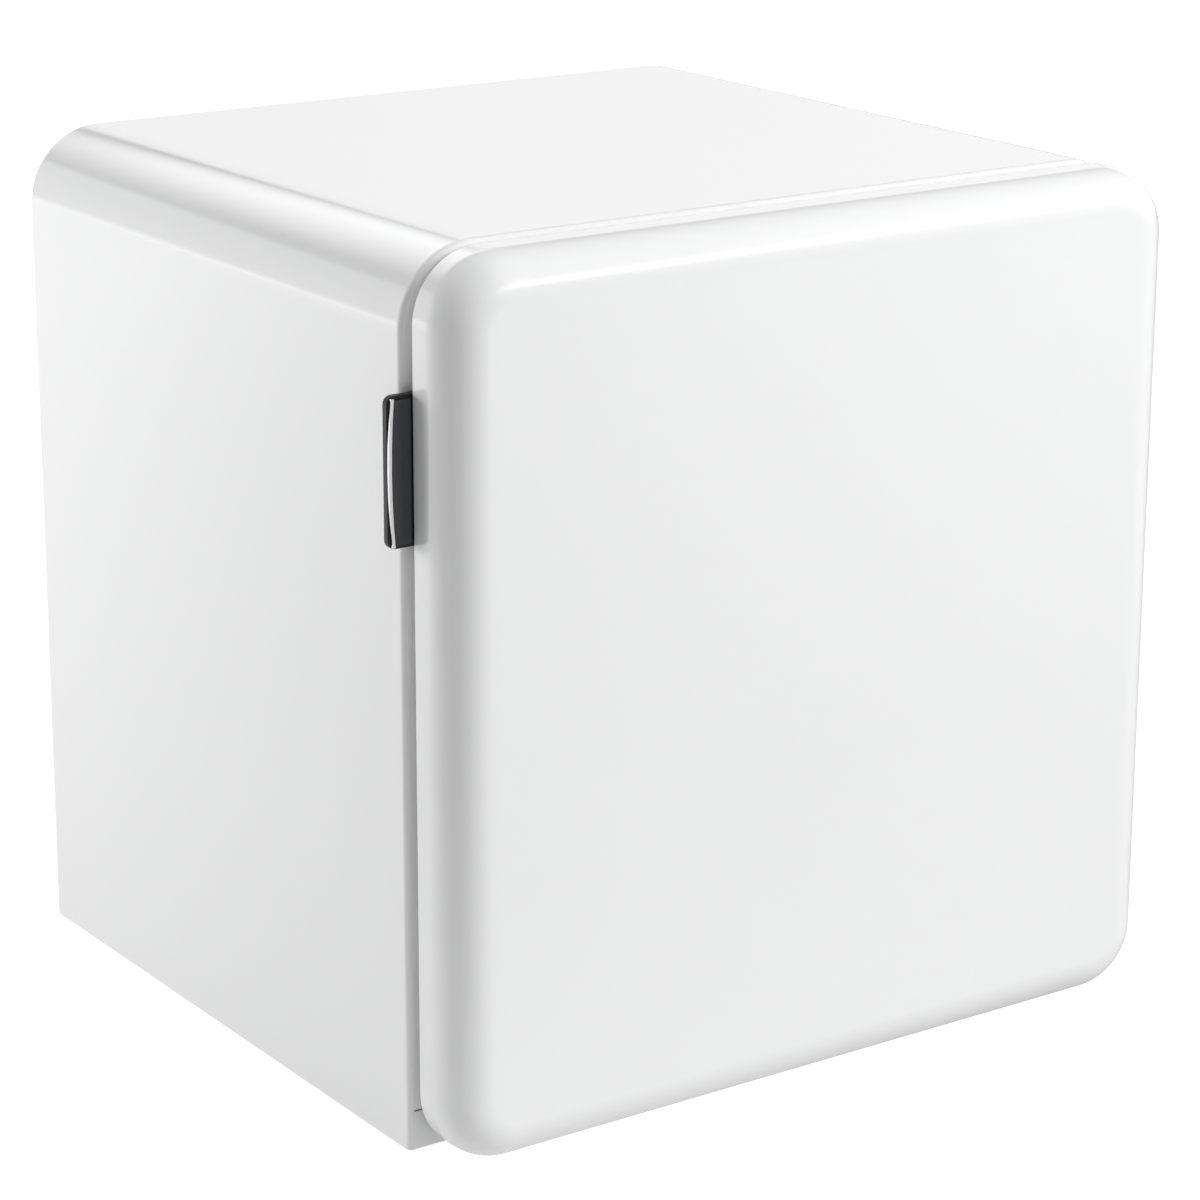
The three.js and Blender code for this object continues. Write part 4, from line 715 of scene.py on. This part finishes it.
def makeDoorLiner():
    bm = bmesh.new()
    base, top, width = doorHigh.y - ridge["panelSunk"], doorLinerHigh.y, ridge["width"]
    x0, x1 = cavity["x0"] + ridge["inset"], cavity["x1"] - ridge["inset"]
    z0, z1 = cavity["z0"] + ridge["inset"], cavity["z1"] - ridge["inset"]
    lines = [ringLine(bm, doorLinerLow.x, doorLinerHigh.x, doorLinerLow.z, doorLinerHigh.z, base,
                      ridge["panelCorner"], 8)]
    for inset, level, radius in ((0, base, ridge["corner"]), (0, top, ridge["corner"]),
                                 (width, top, ridge["innerCorner"]), (width, base, ridge["innerCorner"])):
        lines.append(ringLine(bm, x0 + inset, x1 - inset, z0 + inset, z1 - inset, level, radius, 8))
    bridgeLines(bm, lines)
    bmesh.ops.contextual_create(bm, geom=lines[-1])
    roundEdges(bm, [e for line in lines[2:4] for e in line if e.is_valid], ridge["round"], 4)
    roundEdges(bm, bendsAt(bm, base), ridge["foot"], 3)
    cutEarSlots(bm)
    bmesh.ops.recalc_face_normals(bm, faces=bm.faces)
    middle = min(bm.faces, key=lambda f: f.calc_center_median().y - 10 * f.calc_area())
    if middle.normal.y < 0:
        bmesh.ops.reverse_faces(bm, faces=bm.faces)
    makePiece(bm, "door_inner_panel", "linerWhite", ("door_liner",), 40, ridge["wall"], "door")
    bm = bmesh.new()
    for rack in ("lower_rack", "upper_rack"):
        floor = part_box(rack)[0].z
        for wall, way in ((x0 + width, 1), (x1 - width, -1)):
            ends = (wall - way * lug["root"], wall + way * lug["reach"])
            roundBox(bm, (min(ends), shellLow.y + lug["front"], floor + lug["bottom"]),
                     (max(ends), shellLow.y + lug["rear"], floor + lug["top"]), 0.8 * mm, 3)
    makePiece(bm, "rack_lugs", "linerWhite", body="door")


# The seal's section in mm: how far outside the cold room's mouth, and where in Y from the cabinet's front.
seal = {"corner": 9 * mm,
        "section": ((3.6, -6.2), (15.4, -6.2), (16, -5.7), (14.9, -4.9), (15.9, -4.1), (15, -3.3), (16, -2.5),
                    (16, -0.8), (15.5, -0.3), (3.5, -0.3), (3, -0.8), (3, -2.5), (4, -3.3), (3.1, -4.1),
                    (4.1, -4.9), (3, -5.7))}


def makeSeal():
    bm = bmesh.new()
    lines = []
    for reach, level in seal["section"]:
        out = reach * mm
        lines.append(ringLine(bm, cavity["x0"] - out, cavity["x1"] + out, cavity["z0"] - out,
                              cavity["z1"] + out, shellLow.y + level * mm, seal["corner"] + out - 3 * mm))
    bridgeLines(bm, lines, closed=True)
    makePiece(bm, "door_seal", "sealRubber", ("door_gasket",), 50, body="door")


def makeRacks():
    for rack in ("lower_rack", "upper_rack"):
        softenedCopy(rack, rack + "_moulded", "clearStyrene", 0.6 * mm, 3, body=rack)


makeDoorSkin()
makeDoorLiner()
makeSeal()
makeRacks()
print("door made")


screw = {"crossWidth": 0.8 * mm, "crossDepth": mm, "fullSize": 3.5 * mm, "turnEach": 0.7}
grip = {"screwHead": 3.4 * mm, "headHeight": 1.1 * mm, "shank": 1.9 * mm, "shankLength": 15 * mm}
hinge = {"screwHead": 3.5 * mm, "headHeight": 1.1 * mm, "headOut": 1.15 * mm, "shank": 1.85 * mm,
         "shankLength": 13 * mm, "pin": 3 * mm}
backScrew = {"head": 3.2 * mm, "height": 1.3 * mm, "side": 8 * mm, "bottom": 30 * mm, "sideTop": 60 * mm,
             "top": 6 * mm, "across": 90 * mm}


def screwMesh(radius, height):
    bm = bmesh.new()
    profile = [(0, height), (0.45 * radius, 0.97 * height), (0.8 * radius, 0.75 * height),
               (radius, 0.3 * height), (radius, 0), (0, 0)]
    turnShape(bm, profile, (0, 0, 0), 28)
    bmesh.ops.recalc_face_normals(bm, faces=bm.faces)
    head = bpy.data.meshes.new("head")
    bm.to_mesh(head)
    bm.free()
    bm = bmesh.new()
    depth = screw["crossDepth"] * min(1, radius / screw["fullSize"])
    for length, width in ((1.15 * radius, screw["crossWidth"]), (screw["crossWidth"], 1.15 * radius)):
        placeBox(bm, (-length / 2, -width / 2, height - depth), (length / 2, width / 2, height + mm))
    cross = bpy.data.meshes.new("cross")
    bm.to_mesh(cross)
    bm.free()
    headPiece, crossPiece = putInScene("head", head), putInScene("cross", cross)
    carve = headPiece.modifiers.new("carve", "BOOLEAN")
    carve.operation, carve.object, carve.solver, carve.use_self = "DIFFERENCE", crossPiece, "EXACT", True
    shaped = meshOf(headPiece)
    for holder in (headPiece, crossPiece):
        bpy.data.objects.remove(holder)
    return shaped


# Heads at the places given, each with its cross turned a little further than the last.
def addScrews(bm, template, places, axis):
    turn = Vector((0, 0, 1)).rotation_difference(Vector(axis)).to_matrix().to_4x4()
    for index, place in enumerate(places):
        copy = template.copy()
        spin = Matrix.Rotation(index * screw["turnEach"], 4, "Z")
        copy.transform(Matrix.Translation(Vector(place)) @ turn @ spin)
        bm.from_mesh(copy)
        bpy.data.meshes.remove(copy)


def addShank(bm, point, axis, radius, length):
    profile = [(0, 0), (1.5 * mm, 1.5 * mm), (radius, 3 * mm), (radius, length), (0, length)]
    turnShape(bm, profile, point, 16, axis)


def makeGrip():
    softenedCopy("handle_base", "grip_plate", "blackMoulded", 0.6 * mm, 3, body="door")
    softenedCopy("handle_grip", "grip_pad", "slatePad", 0.35 * mm, 3, body="door")
    softenedCopy("handle_trim", "grip_trim", "brightChrome", 0.2 * mm, body="door")
    template = screwMesh(grip["screwHead"], grip["headHeight"])
    for index in (1, 2):
        node = "handle_screw_%d" % index
        low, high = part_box(node)
        centre = (low + high) / 2
        bm = bmesh.new()
        addScrews(bm, template, [(centre.x, high.y - grip["headHeight"], centre.z)], (0, 1, 0))
        addShank(bm, (centre.x, low.y, centre.z), (0, 1, 0), grip["shank"], grip["shankLength"])
        makePiece(bm, "grip_screw_%d" % index, "zincSheet", (node,), 40, body="door")


def makeHinges():
    template = screwMesh(hinge["screwHead"], hinge["headHeight"])
    for end in ("lower", "upper"):
        softenedCopy("hinge_bracket_" + end, "bracket_" + end, "zincSheet", 0.3 * mm)
        low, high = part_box("hinge_pin_" + end)
        length, radius = high.z - low.z, hinge["pin"]
        bm = bmesh.new()
        turnShape(bm, [(0, 0), (radius - 0.4 * mm, 0), (radius, 0.5 * mm), (radius, length - 0.5 * mm),
                       (radius - 0.4 * mm, length), (0, length)], (pinX, pinY, low.z), 32)
        makePiece(bm, "pin_" + end, "zincSheet", ("hinge_pin_" + end,), 40)
        softenedCopy("hinge_bush_" + end, "bush_" + end, "blackMoulded", 0.3 * mm, body="door")
        for index in (1, 2):
            node = "hinge_screw_%s_%d" % (end, index)
            low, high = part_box(node)
            centre = (low + high) / 2
            bm = bmesh.new()
            addScrews(bm, template, [(centre.x, low.y + hinge["headOut"], centre.z)], (0, -1, 0))
            addShank(bm, (centre.x, high.y, centre.z), (0, -1, 0), hinge["shank"], hinge["shankLength"])
            makePiece(bm, "bracket_screw_%s_%d" % (end, index), "zincSheet", (node,), 40)


def makeBackScrews():
    template = screwMesh(backScrew["head"], backScrew["height"])
    low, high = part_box("rear_panel")
    levels = (low.z + backScrew["bottom"], (low.z + high.z) / 2, high.z - backScrew["sideTop"])
    places = [(x, z) for x in (low.x + backScrew["side"], high.x - backScrew["side"]) for z in levels]
    across = (low.x + backScrew["across"], (low.x + high.x) / 2, high.x - backScrew["across"])
    places += [(x, high.z - backScrew["top"]) for x in across]
    bm = bmesh.new()
    addScrews(bm, template, [(x, shellHigh.y, z) for x, z in places], (0, 1, 0))
    makePiece(bm, "back_screws", "zincSheet", smooth=40)


makeGrip()
makeHinges()
makeBackScrews()
print("grip, hinges and screws made")


coil = {"tube": 2.4 * mm, "wire": 0.75 * mm, "runs": 11, "wireGap": 8.5 * mm, "bendSteps": 8,
        "margin": 8 * mm, "rearWire": 3.8 * mm, "wireOut": 0.5 * mm, "wireStart": 6 * mm,
        "bracketGap": 7 * mm}
coilLow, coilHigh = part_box("condenser")
coilX, coilY = (coilLow.x + coilHigh.x) / 2, coilHigh.y - coil["rearWire"]
coilBottom, coilTop = coilLow.z + coil["margin"], coilHigh.z - coil["margin"]
coilPitch = (coilTop - coilBottom) / (coil["runs"] - 1)


def makeCoil():
    bm = bmesh.new()
    half = coilPitch / 2
    bend = (coilHigh.x - coilLow.x) / 2 - coil["tube"] - half
    path = []
    for i in range(coil["runs"]):
        way = 1 if i % 2 else -1
        z = coilBottom + i * coilPitch
        path.append((coilX - way * bend, coilY, z))
        if i == coil["runs"] - 1:
            path.append((coilX + way * bend, coilY, z))
            break
        for step in range(coil["bendSteps"] + 1):
            angle = -math.pi / 2 + math.pi * step / coil["bendSteps"]
            path.append((coilX + way * (bend + half * math.cos(angle)), coilY,
                         z + half + half * math.sin(angle)))
    tubeMesh(bm, [path], coil["tube"], 12)
    wires = []
    bracketXs = [sum(v.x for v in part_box("condenser_bracket_" + side)) / 2 for side in ("left", "right")]
    span, out = 2 * (bend - coil["wireStart"]), coil["tube"] + coil["wireOut"]
    count = int(span / coil["wireGap"])
    for i in range(count + 1):
        x = coilX - bend + coil["wireStart"] + i * span / count
        wires.append([(x, coilY + out, coilLow.z), (x, coilY + out, coilHigh.z)])
        if min(abs(x - b) for b in bracketXs) > coil["bracketGap"]:
            wires.append([(x, coilY - out, coilLow.z), (x, coilY - out, coilHigh.z)])
    tubeMesh(bm, wires, coil["wire"], 6)
    makePiece(bm, "coil", "blackPaint", ("condenser",), 60)
    for side in ("left", "right"):
        softenedCopy("condenser_bracket_" + side, "coil_bracket_" + side, "blackMoulded", 0.8 * mm, 3)


can = {"radius": 50 * mm, "tall": 104 * mm, "stretch": 1.2, "steps": 64, "footHeight": 9 * mm,
       "floorGap": 4.3 * mm, "legGap": 0.3 * mm, "legHalf": 9 * mm, "legThick": 3 * mm, "legY": 38 * mm,
       "crossHalf": 9 * mm, "crossX": 30 * mm, "stub": 3.4 * mm,
       "stubs": ((30, 40, 62, 9), (-34, 38, 58, 8), (-14, 44, 50, 6))}     # x, y, height and length in mm
canLow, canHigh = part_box("compressor")
canCentre = (canLow + canHigh) / 2
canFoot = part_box("compressor_grommet_1")[0].z + can["footHeight"]


def makeCompressor():
    floor = canFoot + can["floorGap"]
    height = canHigh.z - floor
    x, y = canCentre.x, canCentre.y
    bm = bmesh.new()
    # Shares of the can's radius and height, with the weld seam at mid height.
    profile = [(0, 0), (0.5, 0.008), (0.7, 0.03), (0.84, 0.08), (0.91, 0.15), (0.95, 0.26), (0.965, 0.38),
               (0.97, 0.49), (1.03, 0.495), (1.04, 0.505), (1.04, 0.535), (1.03, 0.545), (0.97, 0.55),
               (0.965, 0.62), (0.95, 0.72), (0.91, 0.81), (0.84, 0.885), (0.72, 0.945), (0.55, 0.98),
               (0.3, 0.997), (0, 1)]
    turnShape(bm, [(a * can["radius"], b * height) for a, b in profile], (0, 0, 0), can["steps"])
    bmesh.ops.scale(bm, vec=(can["stretch"], 1, 1), verts=bm.verts)
    bmesh.ops.translate(bm, vec=(x, y, floor), verts=bm.verts)
    legLow = canFoot + can["legGap"]
    for way in (-1, 1):
        legY, crossX = y + way * can["legY"], x + way * can["crossX"]
        roundBox(bm, (canLow.x, legY - can["legHalf"], legLow),
                 (canHigh.x, legY + can["legHalf"], legLow + can["legThick"]), 0.8 * mm, 2)
        roundBox(bm, (crossX - can["crossHalf"], canLow.y, legLow),
                 (crossX + can["crossHalf"], canHigh.y, legLow + can["crossHalf"]), 1.2 * mm, 3)
    for alongX, alongY, up, length in can["stubs"]:
        start = Vector((x + alongX * mm, y + alongY * mm, floor + up * mm))
        outward = Vector((alongX, alongY * 1.3, 0)).normalized()
        tubeMesh(bm, [[start, start + outward * length * mm]], can["stub"], 12)
    makePiece(bm, "compressor_can", "blackPaint", ("compressor",), 40)
    softenedCopy("terminal_cover", "terminal_box", "blackMoulded", 1.2 * mm, 3)
    bolts = bmesh.new()
    for index in range(1, 5):
        node = "compressor_grommet_%d" % index
        low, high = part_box(node)
        middle, radius, tall = (low + high) / 2, (high.x - low.x) / 2, high.z - low.z
        turnShape(bolts, [(0, -0.5 * mm), (2.4 * mm, -0.5 * mm), (2.4 * mm, 4.5 * mm), (6.4 * mm, 4.5 * mm),
                          (6.4 * mm, 5.5 * mm), (2.5 * mm, 5.5 * mm), (2.3 * mm, 9 * mm), (0, 9 * mm)],
                  (middle.x, middle.y, high.z), 24)
        bm = bmesh.new()
        waist, edge = radius - 1.6 * mm, 0.8 * mm
        turnShape(bm, [(0, 0), (radius - edge, 0), (radius, edge), (radius, 0.3 * tall),
                       (waist, 0.4 * tall), (waist, 0.6 * tall), (radius, 0.7 * tall), (radius, tall - edge),
                       (radius - edge, tall), (0, tall)], (middle.x, middle.y, low.z), 32)
        makePiece(bm, "bush_foot_%d" % index, "blackRubber", (node,), 40)
    makePiece(bolts, "mounting_bolts", "zincSheet", smooth=40)


pipes = {"discharge": 2 * mm, "suction": 3 * mm, "inlet": 2 * mm, "capillary": 1.2 * mm, "legOut": 8 * mm,
         "dryerIn": 4 * mm, "dryerFront": 34 * mm, "dryerDown": 22 * mm, "dryerTall": 70 * mm}


def makePipe(name, points, radius, stands):
    bm = bmesh.new()
    tubeMesh(bm, [points], radius, 14, True)
    makePiece(bm, name, "copperPipe", stands, 60)


# The pipes' turns in mm from the can, the coil's ends and the dryer.
def makePipes():
    x, y, shoulder = canCentre.x, canCentre.y, canFoot + 0.8 * can["tall"]
    coilHalf = (coilHigh.x - coilLow.x) / 2 - 1.5 * mm
    legX, endX = coilHalf + pipes["legOut"], coilHalf - coilPitch / 2 + mm
    left, right, coilEnd = coilX - legX, coilX + legX, endX + 0.4 * mm
    sideX = x - can["radius"] * can["stretch"] * 0.9
    makePipe("hot_pipe", [
        (sideX - 8 * mm, y + 6 * mm, shoulder - 8 * mm), (sideX - 26 * mm, y + 12 * mm, shoulder - 4 * mm),
        (left + 30 * mm, y + 40 * mm, shoulder), (left + 4 * mm, coilY - 14 * mm, shoulder + 14 * mm),
        (left, coilY, coilBottom - 14 * mm), (left, coilY, coilBottom + 40 * mm),
        (left, coilY, coilTop - 40 * mm), (left, coilY, coilTop - 12 * mm),
        (left + 5 * mm, coilY, coilTop - 2 * mm),
        (coilX - coilEnd, coilY, coilTop)], pipes["discharge"], ("discharge_pipe",))
    bayTop = bayHigh.z - mm
    makePipe("return_pipe", [
        (x + 30 * mm, y + 50 * mm, shoulder - 22 * mm), (x + 40 * mm, y + 54 * mm, shoulder - 10 * mm),
        (x + 96 * mm, y + 46 * mm, shoulder), (x + 120 * mm, y + 30 * mm, shoulder + 22 * mm),
        (x + 120 * mm, y + 24 * mm, bayTop - 0.6 * mm)], pipes["suction"], ("suction_pipe",))
    dryerX, dryerY = coilX + coilHalf - pipes["dryerIn"], coilY - pipes["dryerFront"]
    dryerTop = bayTop - pipes["dryerDown"]
    dryerLow = dryerTop - pipes["dryerTall"]
    profile = ((0, 0), (2.2, 0), (2.4, 5), (6, 9), (8, 12), (8, 56), (7.4, 57), (8, 58), (6, 62), (2.6, 66),
               (2.4, 70), (0, 70))
    bm = bmesh.new()
    turnShape(bm, [(a * mm, b * mm) for a, b in profile], (dryerX, dryerY, dryerLow), 40)
    inlet = [(coilX + coilEnd, coilY, coilBottom), (right - 6 * mm, coilY, coilBottom - 3 * mm),
             (right, coilY, coilBottom - 14 * mm), (right, coilY, bayTop + 6 * mm),
             (dryerX + 6 * mm, coilY - 10 * mm, bayTop - 8 * mm), (dryerX, dryerY, dryerTop - 4 * mm)]
    tubeMesh(bm, [inlet], pipes["inlet"], 14, True)
    makePiece(bm, "dryer", "copperPipe", ("filter_dryer",), 60)
    makePipe("capillary", [
        (dryerX, dryerY, dryerLow - 0.5 * mm), (dryerX - 2 * mm, dryerY - 2 * mm, dryerLow - 18 * mm),
        (dryerX - 20 * mm, dryerY - 8 * mm, dryerLow - 24 * mm),
        (dryerX - 42 * mm, dryerY - 18 * mm, dryerLow + 10 * mm),
        (dryerX - 48 * mm, dryerY - 24 * mm, bayTop - 0.6 * mm)], pipes["capillary"], ("capillary_pipe",))


def makeBay():
    softenedCopy("compressor_base", "machine_plate", "zincSheet", 0.5 * mm, 2)
    softenedCopy("bottom_plate", "under_sheet", "zincSheet", 0)
    softenedCopy("evaporation_pan", "defrost_pan", "blackMoulded", 0.6 * mm, 3)
    softenedCopy("drain_spout", "drain_pipe", "linerWhite", 0.3 * mm, 2)
    softenedCopy("cord_clamp", "lead_clamp", "blackMoulded", 0.8 * mm, 3)


foot = {"ribs": 20, "ribDepth": 0.7 * mm, "stud": 4 * mm, "threadDepth": 0.5 * mm, "threads": 9,
        "firstThread": 12.5 * mm, "threadStep": 2.2 * mm}


def makeFeet():
    for side in ("left", "right"):
        node = "front_foot_" + side
        low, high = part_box(node)
        centre, radius, stud = (low + high) / 2, (high.x - low.x) / 2, foot["stud"]
        bm = bmesh.new()
        profile = [(0, 0), (radius - 1.2 * mm, 0), (radius - 0.3 * mm, 0.5 * mm), (radius, 1.6 * mm),
                   (radius - 0.6 * mm, 7.5 * mm), (radius - 1.6 * mm, 8.6 * mm), (9.5 * mm, 11.2 * mm),
                   (stud, 11.5 * mm)]
        for thread in range(foot["threads"]):      # the stud's thread as plain rings
            level = foot["firstThread"] + thread * foot["threadStep"]
            profile += [(stud, level), (stud - foot["threadDepth"], level + 0.8 * mm),
                        (stud, level + 1.6 * mm)]
        profile += [(3 * mm, 34.5 * mm), (0, 35 * mm)]
        turnShape(bm, profile, (centre.x, centre.y, low.z), foot["ribs"] * 3)
        for vert in bm.verts:      # grip flutes round the edge
            offset = Vector((vert.co.x - centre.x, vert.co.y - centre.y, 0))
            turn = math.degrees(math.atan2(offset.y, offset.x)) % (360 / foot["ribs"])
            onRim = offset.length > radius - mm and low.z + mm < vert.co.z < low.z + 9 * mm
            if onRim and turn < 120 / foot["ribs"]:
                vert.co -= offset.normalized() * foot["ribDepth"]
        makePiece(bm, "levelling_foot_" + side, "blackMoulded", (node,), 30, body=node)
        node = "rear_foot_" + side
        low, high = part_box(node)
        centre, radius, tall = (low + high) / 2, (high.x - low.x) / 2, high.z - low.z
        bm = bmesh.new()
        turnShape(bm, [(0, 0.6 * mm), (radius - 4 * mm, 0.6 * mm), (radius - 3.4 * mm, 0),
                       (radius - 1.2 * mm, 0), (radius - 0.2 * mm, mm), (radius - 2 * mm, tall - mm),
                       (radius - 3 * mm, tall), (0, tall)], (centre.x, centre.y, low.z), 48)
        makePiece(bm, "fixed_foot_" + side, "blackRubber", (node,), 40)


makeCoil()
makeCompressor()
makePipes()
makeBay()
makeFeet()
print("machinery and feet made")

inner = {"cabinet_foam": "foamYellow", "door_foam": "foamYellow", "gasket_magnet": "magnetBrown",
         "thermostat_control": "zincSheet"}
for node, finish in inner.items():
    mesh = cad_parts[node].data
    mesh.materials.clear()
    mesh.materials.append(finishes[finish])

stage = {"floorSize": 14.0, "floorColour": 0.3, "floorSeen": 0.9, "glowBehind": 1.25, "glowFront": 0.22,
         "skyFill": 0.3, "wallGlow": 0.95, "wallTop": 0.33, "behind": (0.57, 0.82), "left": (-1, 0)}
camera = {"place": (-1.07388, -1.57923, 0.79102), "heading": 34.67, "down": 15.88, "roll": 0.19,
          "lens": 111.83, "shiftUp": -0.06}
# The fill lamps show in no reflection. The two cards give the long soft lines on the round edges.
lamps = {
    "overhead": {"at": (0.2, 0.1, 2.45), "aim": (0, 0, 0.4), "size": (2.2, 2.2), "power": 11.5},
    "key": {"at": (1.6, -2.2, 1.9), "aim": (0, -0.1, 0.25), "size": (1.8, 1.6), "power": 76},
    "second": {"at": (-3.4, 3.2, 0.9), "aim": (-0.1, 0, 0.2), "size": (2.4, 1.6), "power": 100},
    "frontCard": {"at": (1.5, -2.1, 1.6), "aim": (0, -0.2, 0.3), "size": (3.2, 0.8), "power": 15},
    "rearCard": {"at": (0.3, 2.7, 2.25), "aim": (0, 0, 0.4), "size": (3.4, 1.2), "power": 20},
}
mirrored = ("frontCard", "rearCard")


# A lamp whose brightness fades towards its own edges.
def softenLamp(light):
    light.use_nodes = True
    tree = light.node_tree
    across = splitAxes(tree, addNode(tree, "ShaderNodeNewGeometry").outputs["Parametric"])
    fades = []
    for label in ("X", "Y"):
        rest = calc(tree, "SUBTRACT", 1.0, across[label])
        fades.append(calc(tree, "MULTIPLY", calc(tree, "MULTIPLY", across[label], rest), 4.0))
    plug(tree, tree.nodes["Emission"].inputs["Strength"], calc(tree, "MULTIPLY", *fades))


# Rises from 0 to 1 along a level direction.
def shareTowards(tree, vector, direction, steepness):
    axes = splitAxes(tree, vector)
    alongX = calc(tree, "MULTIPLY", axes["X"], direction[0])
    away = calc(tree, "MULTIPLY_ADD", axes["Y"], direction[1], alongX)
    return calc(tree, "MULTIPLY_ADD", away, steepness, 0.5, clamp=True)


def pickFirst(tree, share, first, second):
    kept = calc(tree, "MULTIPLY", calc(tree, "SUBTRACT", 1.0, share), second)
    return calc(tree, "MULTIPLY_ADD", share, first, kept)


# The floor looks plain and pale, and its glow fills the sides from below.
def makeFloor():
    bm = bmesh.new()
    bmesh.ops.create_grid(bm, x_segments=2, y_segments=2, size=stage["floorSize"] / 2)
    mesh = bpy.data.meshes.new("floor")
    bm.to_mesh(mesh)
    bm.free()
    floor = putInScene("floor", mesh)
    paper = bpy.data.materials.new("floorPaper")
    paper.use_nodes = True
    tree = paper.node_tree
    shader = tree.nodes["Principled BSDF"]
    shader.inputs["Base Color"].default_value = (*[stage["floorColour"]] * 3, 1)
    shader.inputs["Roughness"].default_value = 0.75
    shader.inputs["Specular IOR Level"].default_value = 0.1
    shader.inputs["Emission Color"].default_value = (1, 1, 1, 1)
    place = addNode(tree, "ShaderNodeTexCoord").outputs["Object"]
    away = calc(tree, "MULTIPLY", shareTowards(tree, place, stage["behind"], 0.6),
                shareTowards(tree, place, stage["left"], 1.2))
    glow = calc(tree, "MULTIPLY_ADD", away, stage["glowBehind"] - stage["glowFront"], stage["glowFront"])
    seenNow = addNode(tree, "ShaderNodeLightPath").outputs["Is Camera Ray"]
    plug(tree, shader.inputs["Emission Strength"], pickFirst(tree, seenNow, stage["floorSeen"], glow))
    floor.data.materials.append(paper)


# White behind everything; reflections see a wall that is bright only behind the fridge and below "wallTop".
def makeWorld():
    world = bpy.data.worlds.new("studio")
    bpy.context.scene.world = world
    world.use_nodes = True
    tree = world.node_tree
    tree.nodes.clear()
    place = addNode(tree, "ShaderNodeTexCoord").outputs["Generated"]
    height = splitAxes(tree, place)["Z"]
    above = calc(tree, "MULTIPLY_ADD", height, 25.0, -25.0 * stage["wallTop"], clamp=True)
    below = calc(tree, "SUBTRACT", 1.0, above)
    wall = calc(tree, "MULTIPLY", shareTowards(tree, place, stage["behind"], 1.6), below)
    lit = calc(tree, "MULTIPLY_ADD", wall, stage["wallGlow"] - stage["skyFill"], stage["skyFill"])
    ray = addNode(tree, "ShaderNodeLightPath").outputs
    inGloss = pickFirst(tree, ray["Is Glossy Ray"], lit, stage["skyFill"])
    light = addNode(tree, "ShaderNodeBackground")
    light.inputs["Color"].default_value = (1, 1, 1, 1)
    plug(tree, light.inputs["Strength"], pickFirst(tree, ray["Is Camera Ray"], 1.0, inGloss))
    plug(tree, addNode(tree, "ShaderNodeOutputWorld").inputs[0], light.outputs[0])


def makeLamps():
    for name, lamp in lamps.items():
        light = bpy.data.lights.new(name, "AREA")
        light.shape, light.size, light.size_y, light.energy = "RECTANGLE", *lamp["size"], lamp["power"]
        holder = putInScene(name, light)
        holder.location = lamp["at"]
        aim = Vector(lamp["aim"]) - Vector(lamp["at"])
        holder.rotation_euler = aim.to_track_quat("-Z", "Y").to_euler()
        holder.visible_glossy = name in mirrored
        if name in mirrored:
            softenLamp(light)


def makeCamera():
    data = bpy.data.cameras.new("camera")
    data.sensor_width, data.lens, data.shift_y = 36, camera["lens"], camera["shiftUp"]
    data.clip_start, data.clip_end = 0.05, 60
    holder = putInScene("camera", data)
    holder.location = camera["place"]
    heading, down = math.radians(camera["heading"]), math.radians(camera["down"])
    turn = Matrix.Rotation(-heading, 3, "Z") @ Matrix.Rotation(math.pi / 2 - down, 3, "X")
    turn = turn @ Matrix.Rotation(math.radians(camera["roll"]), 3, "Z")
    holder.rotation_euler = turn.to_euler()
    bpy.context.scene.camera = holder


makeFloor()
makeWorld()
makeLamps()
makeCamera()
bpy.context.scene.view_settings.view_transform = "Standard"
print("stage, light and camera set")
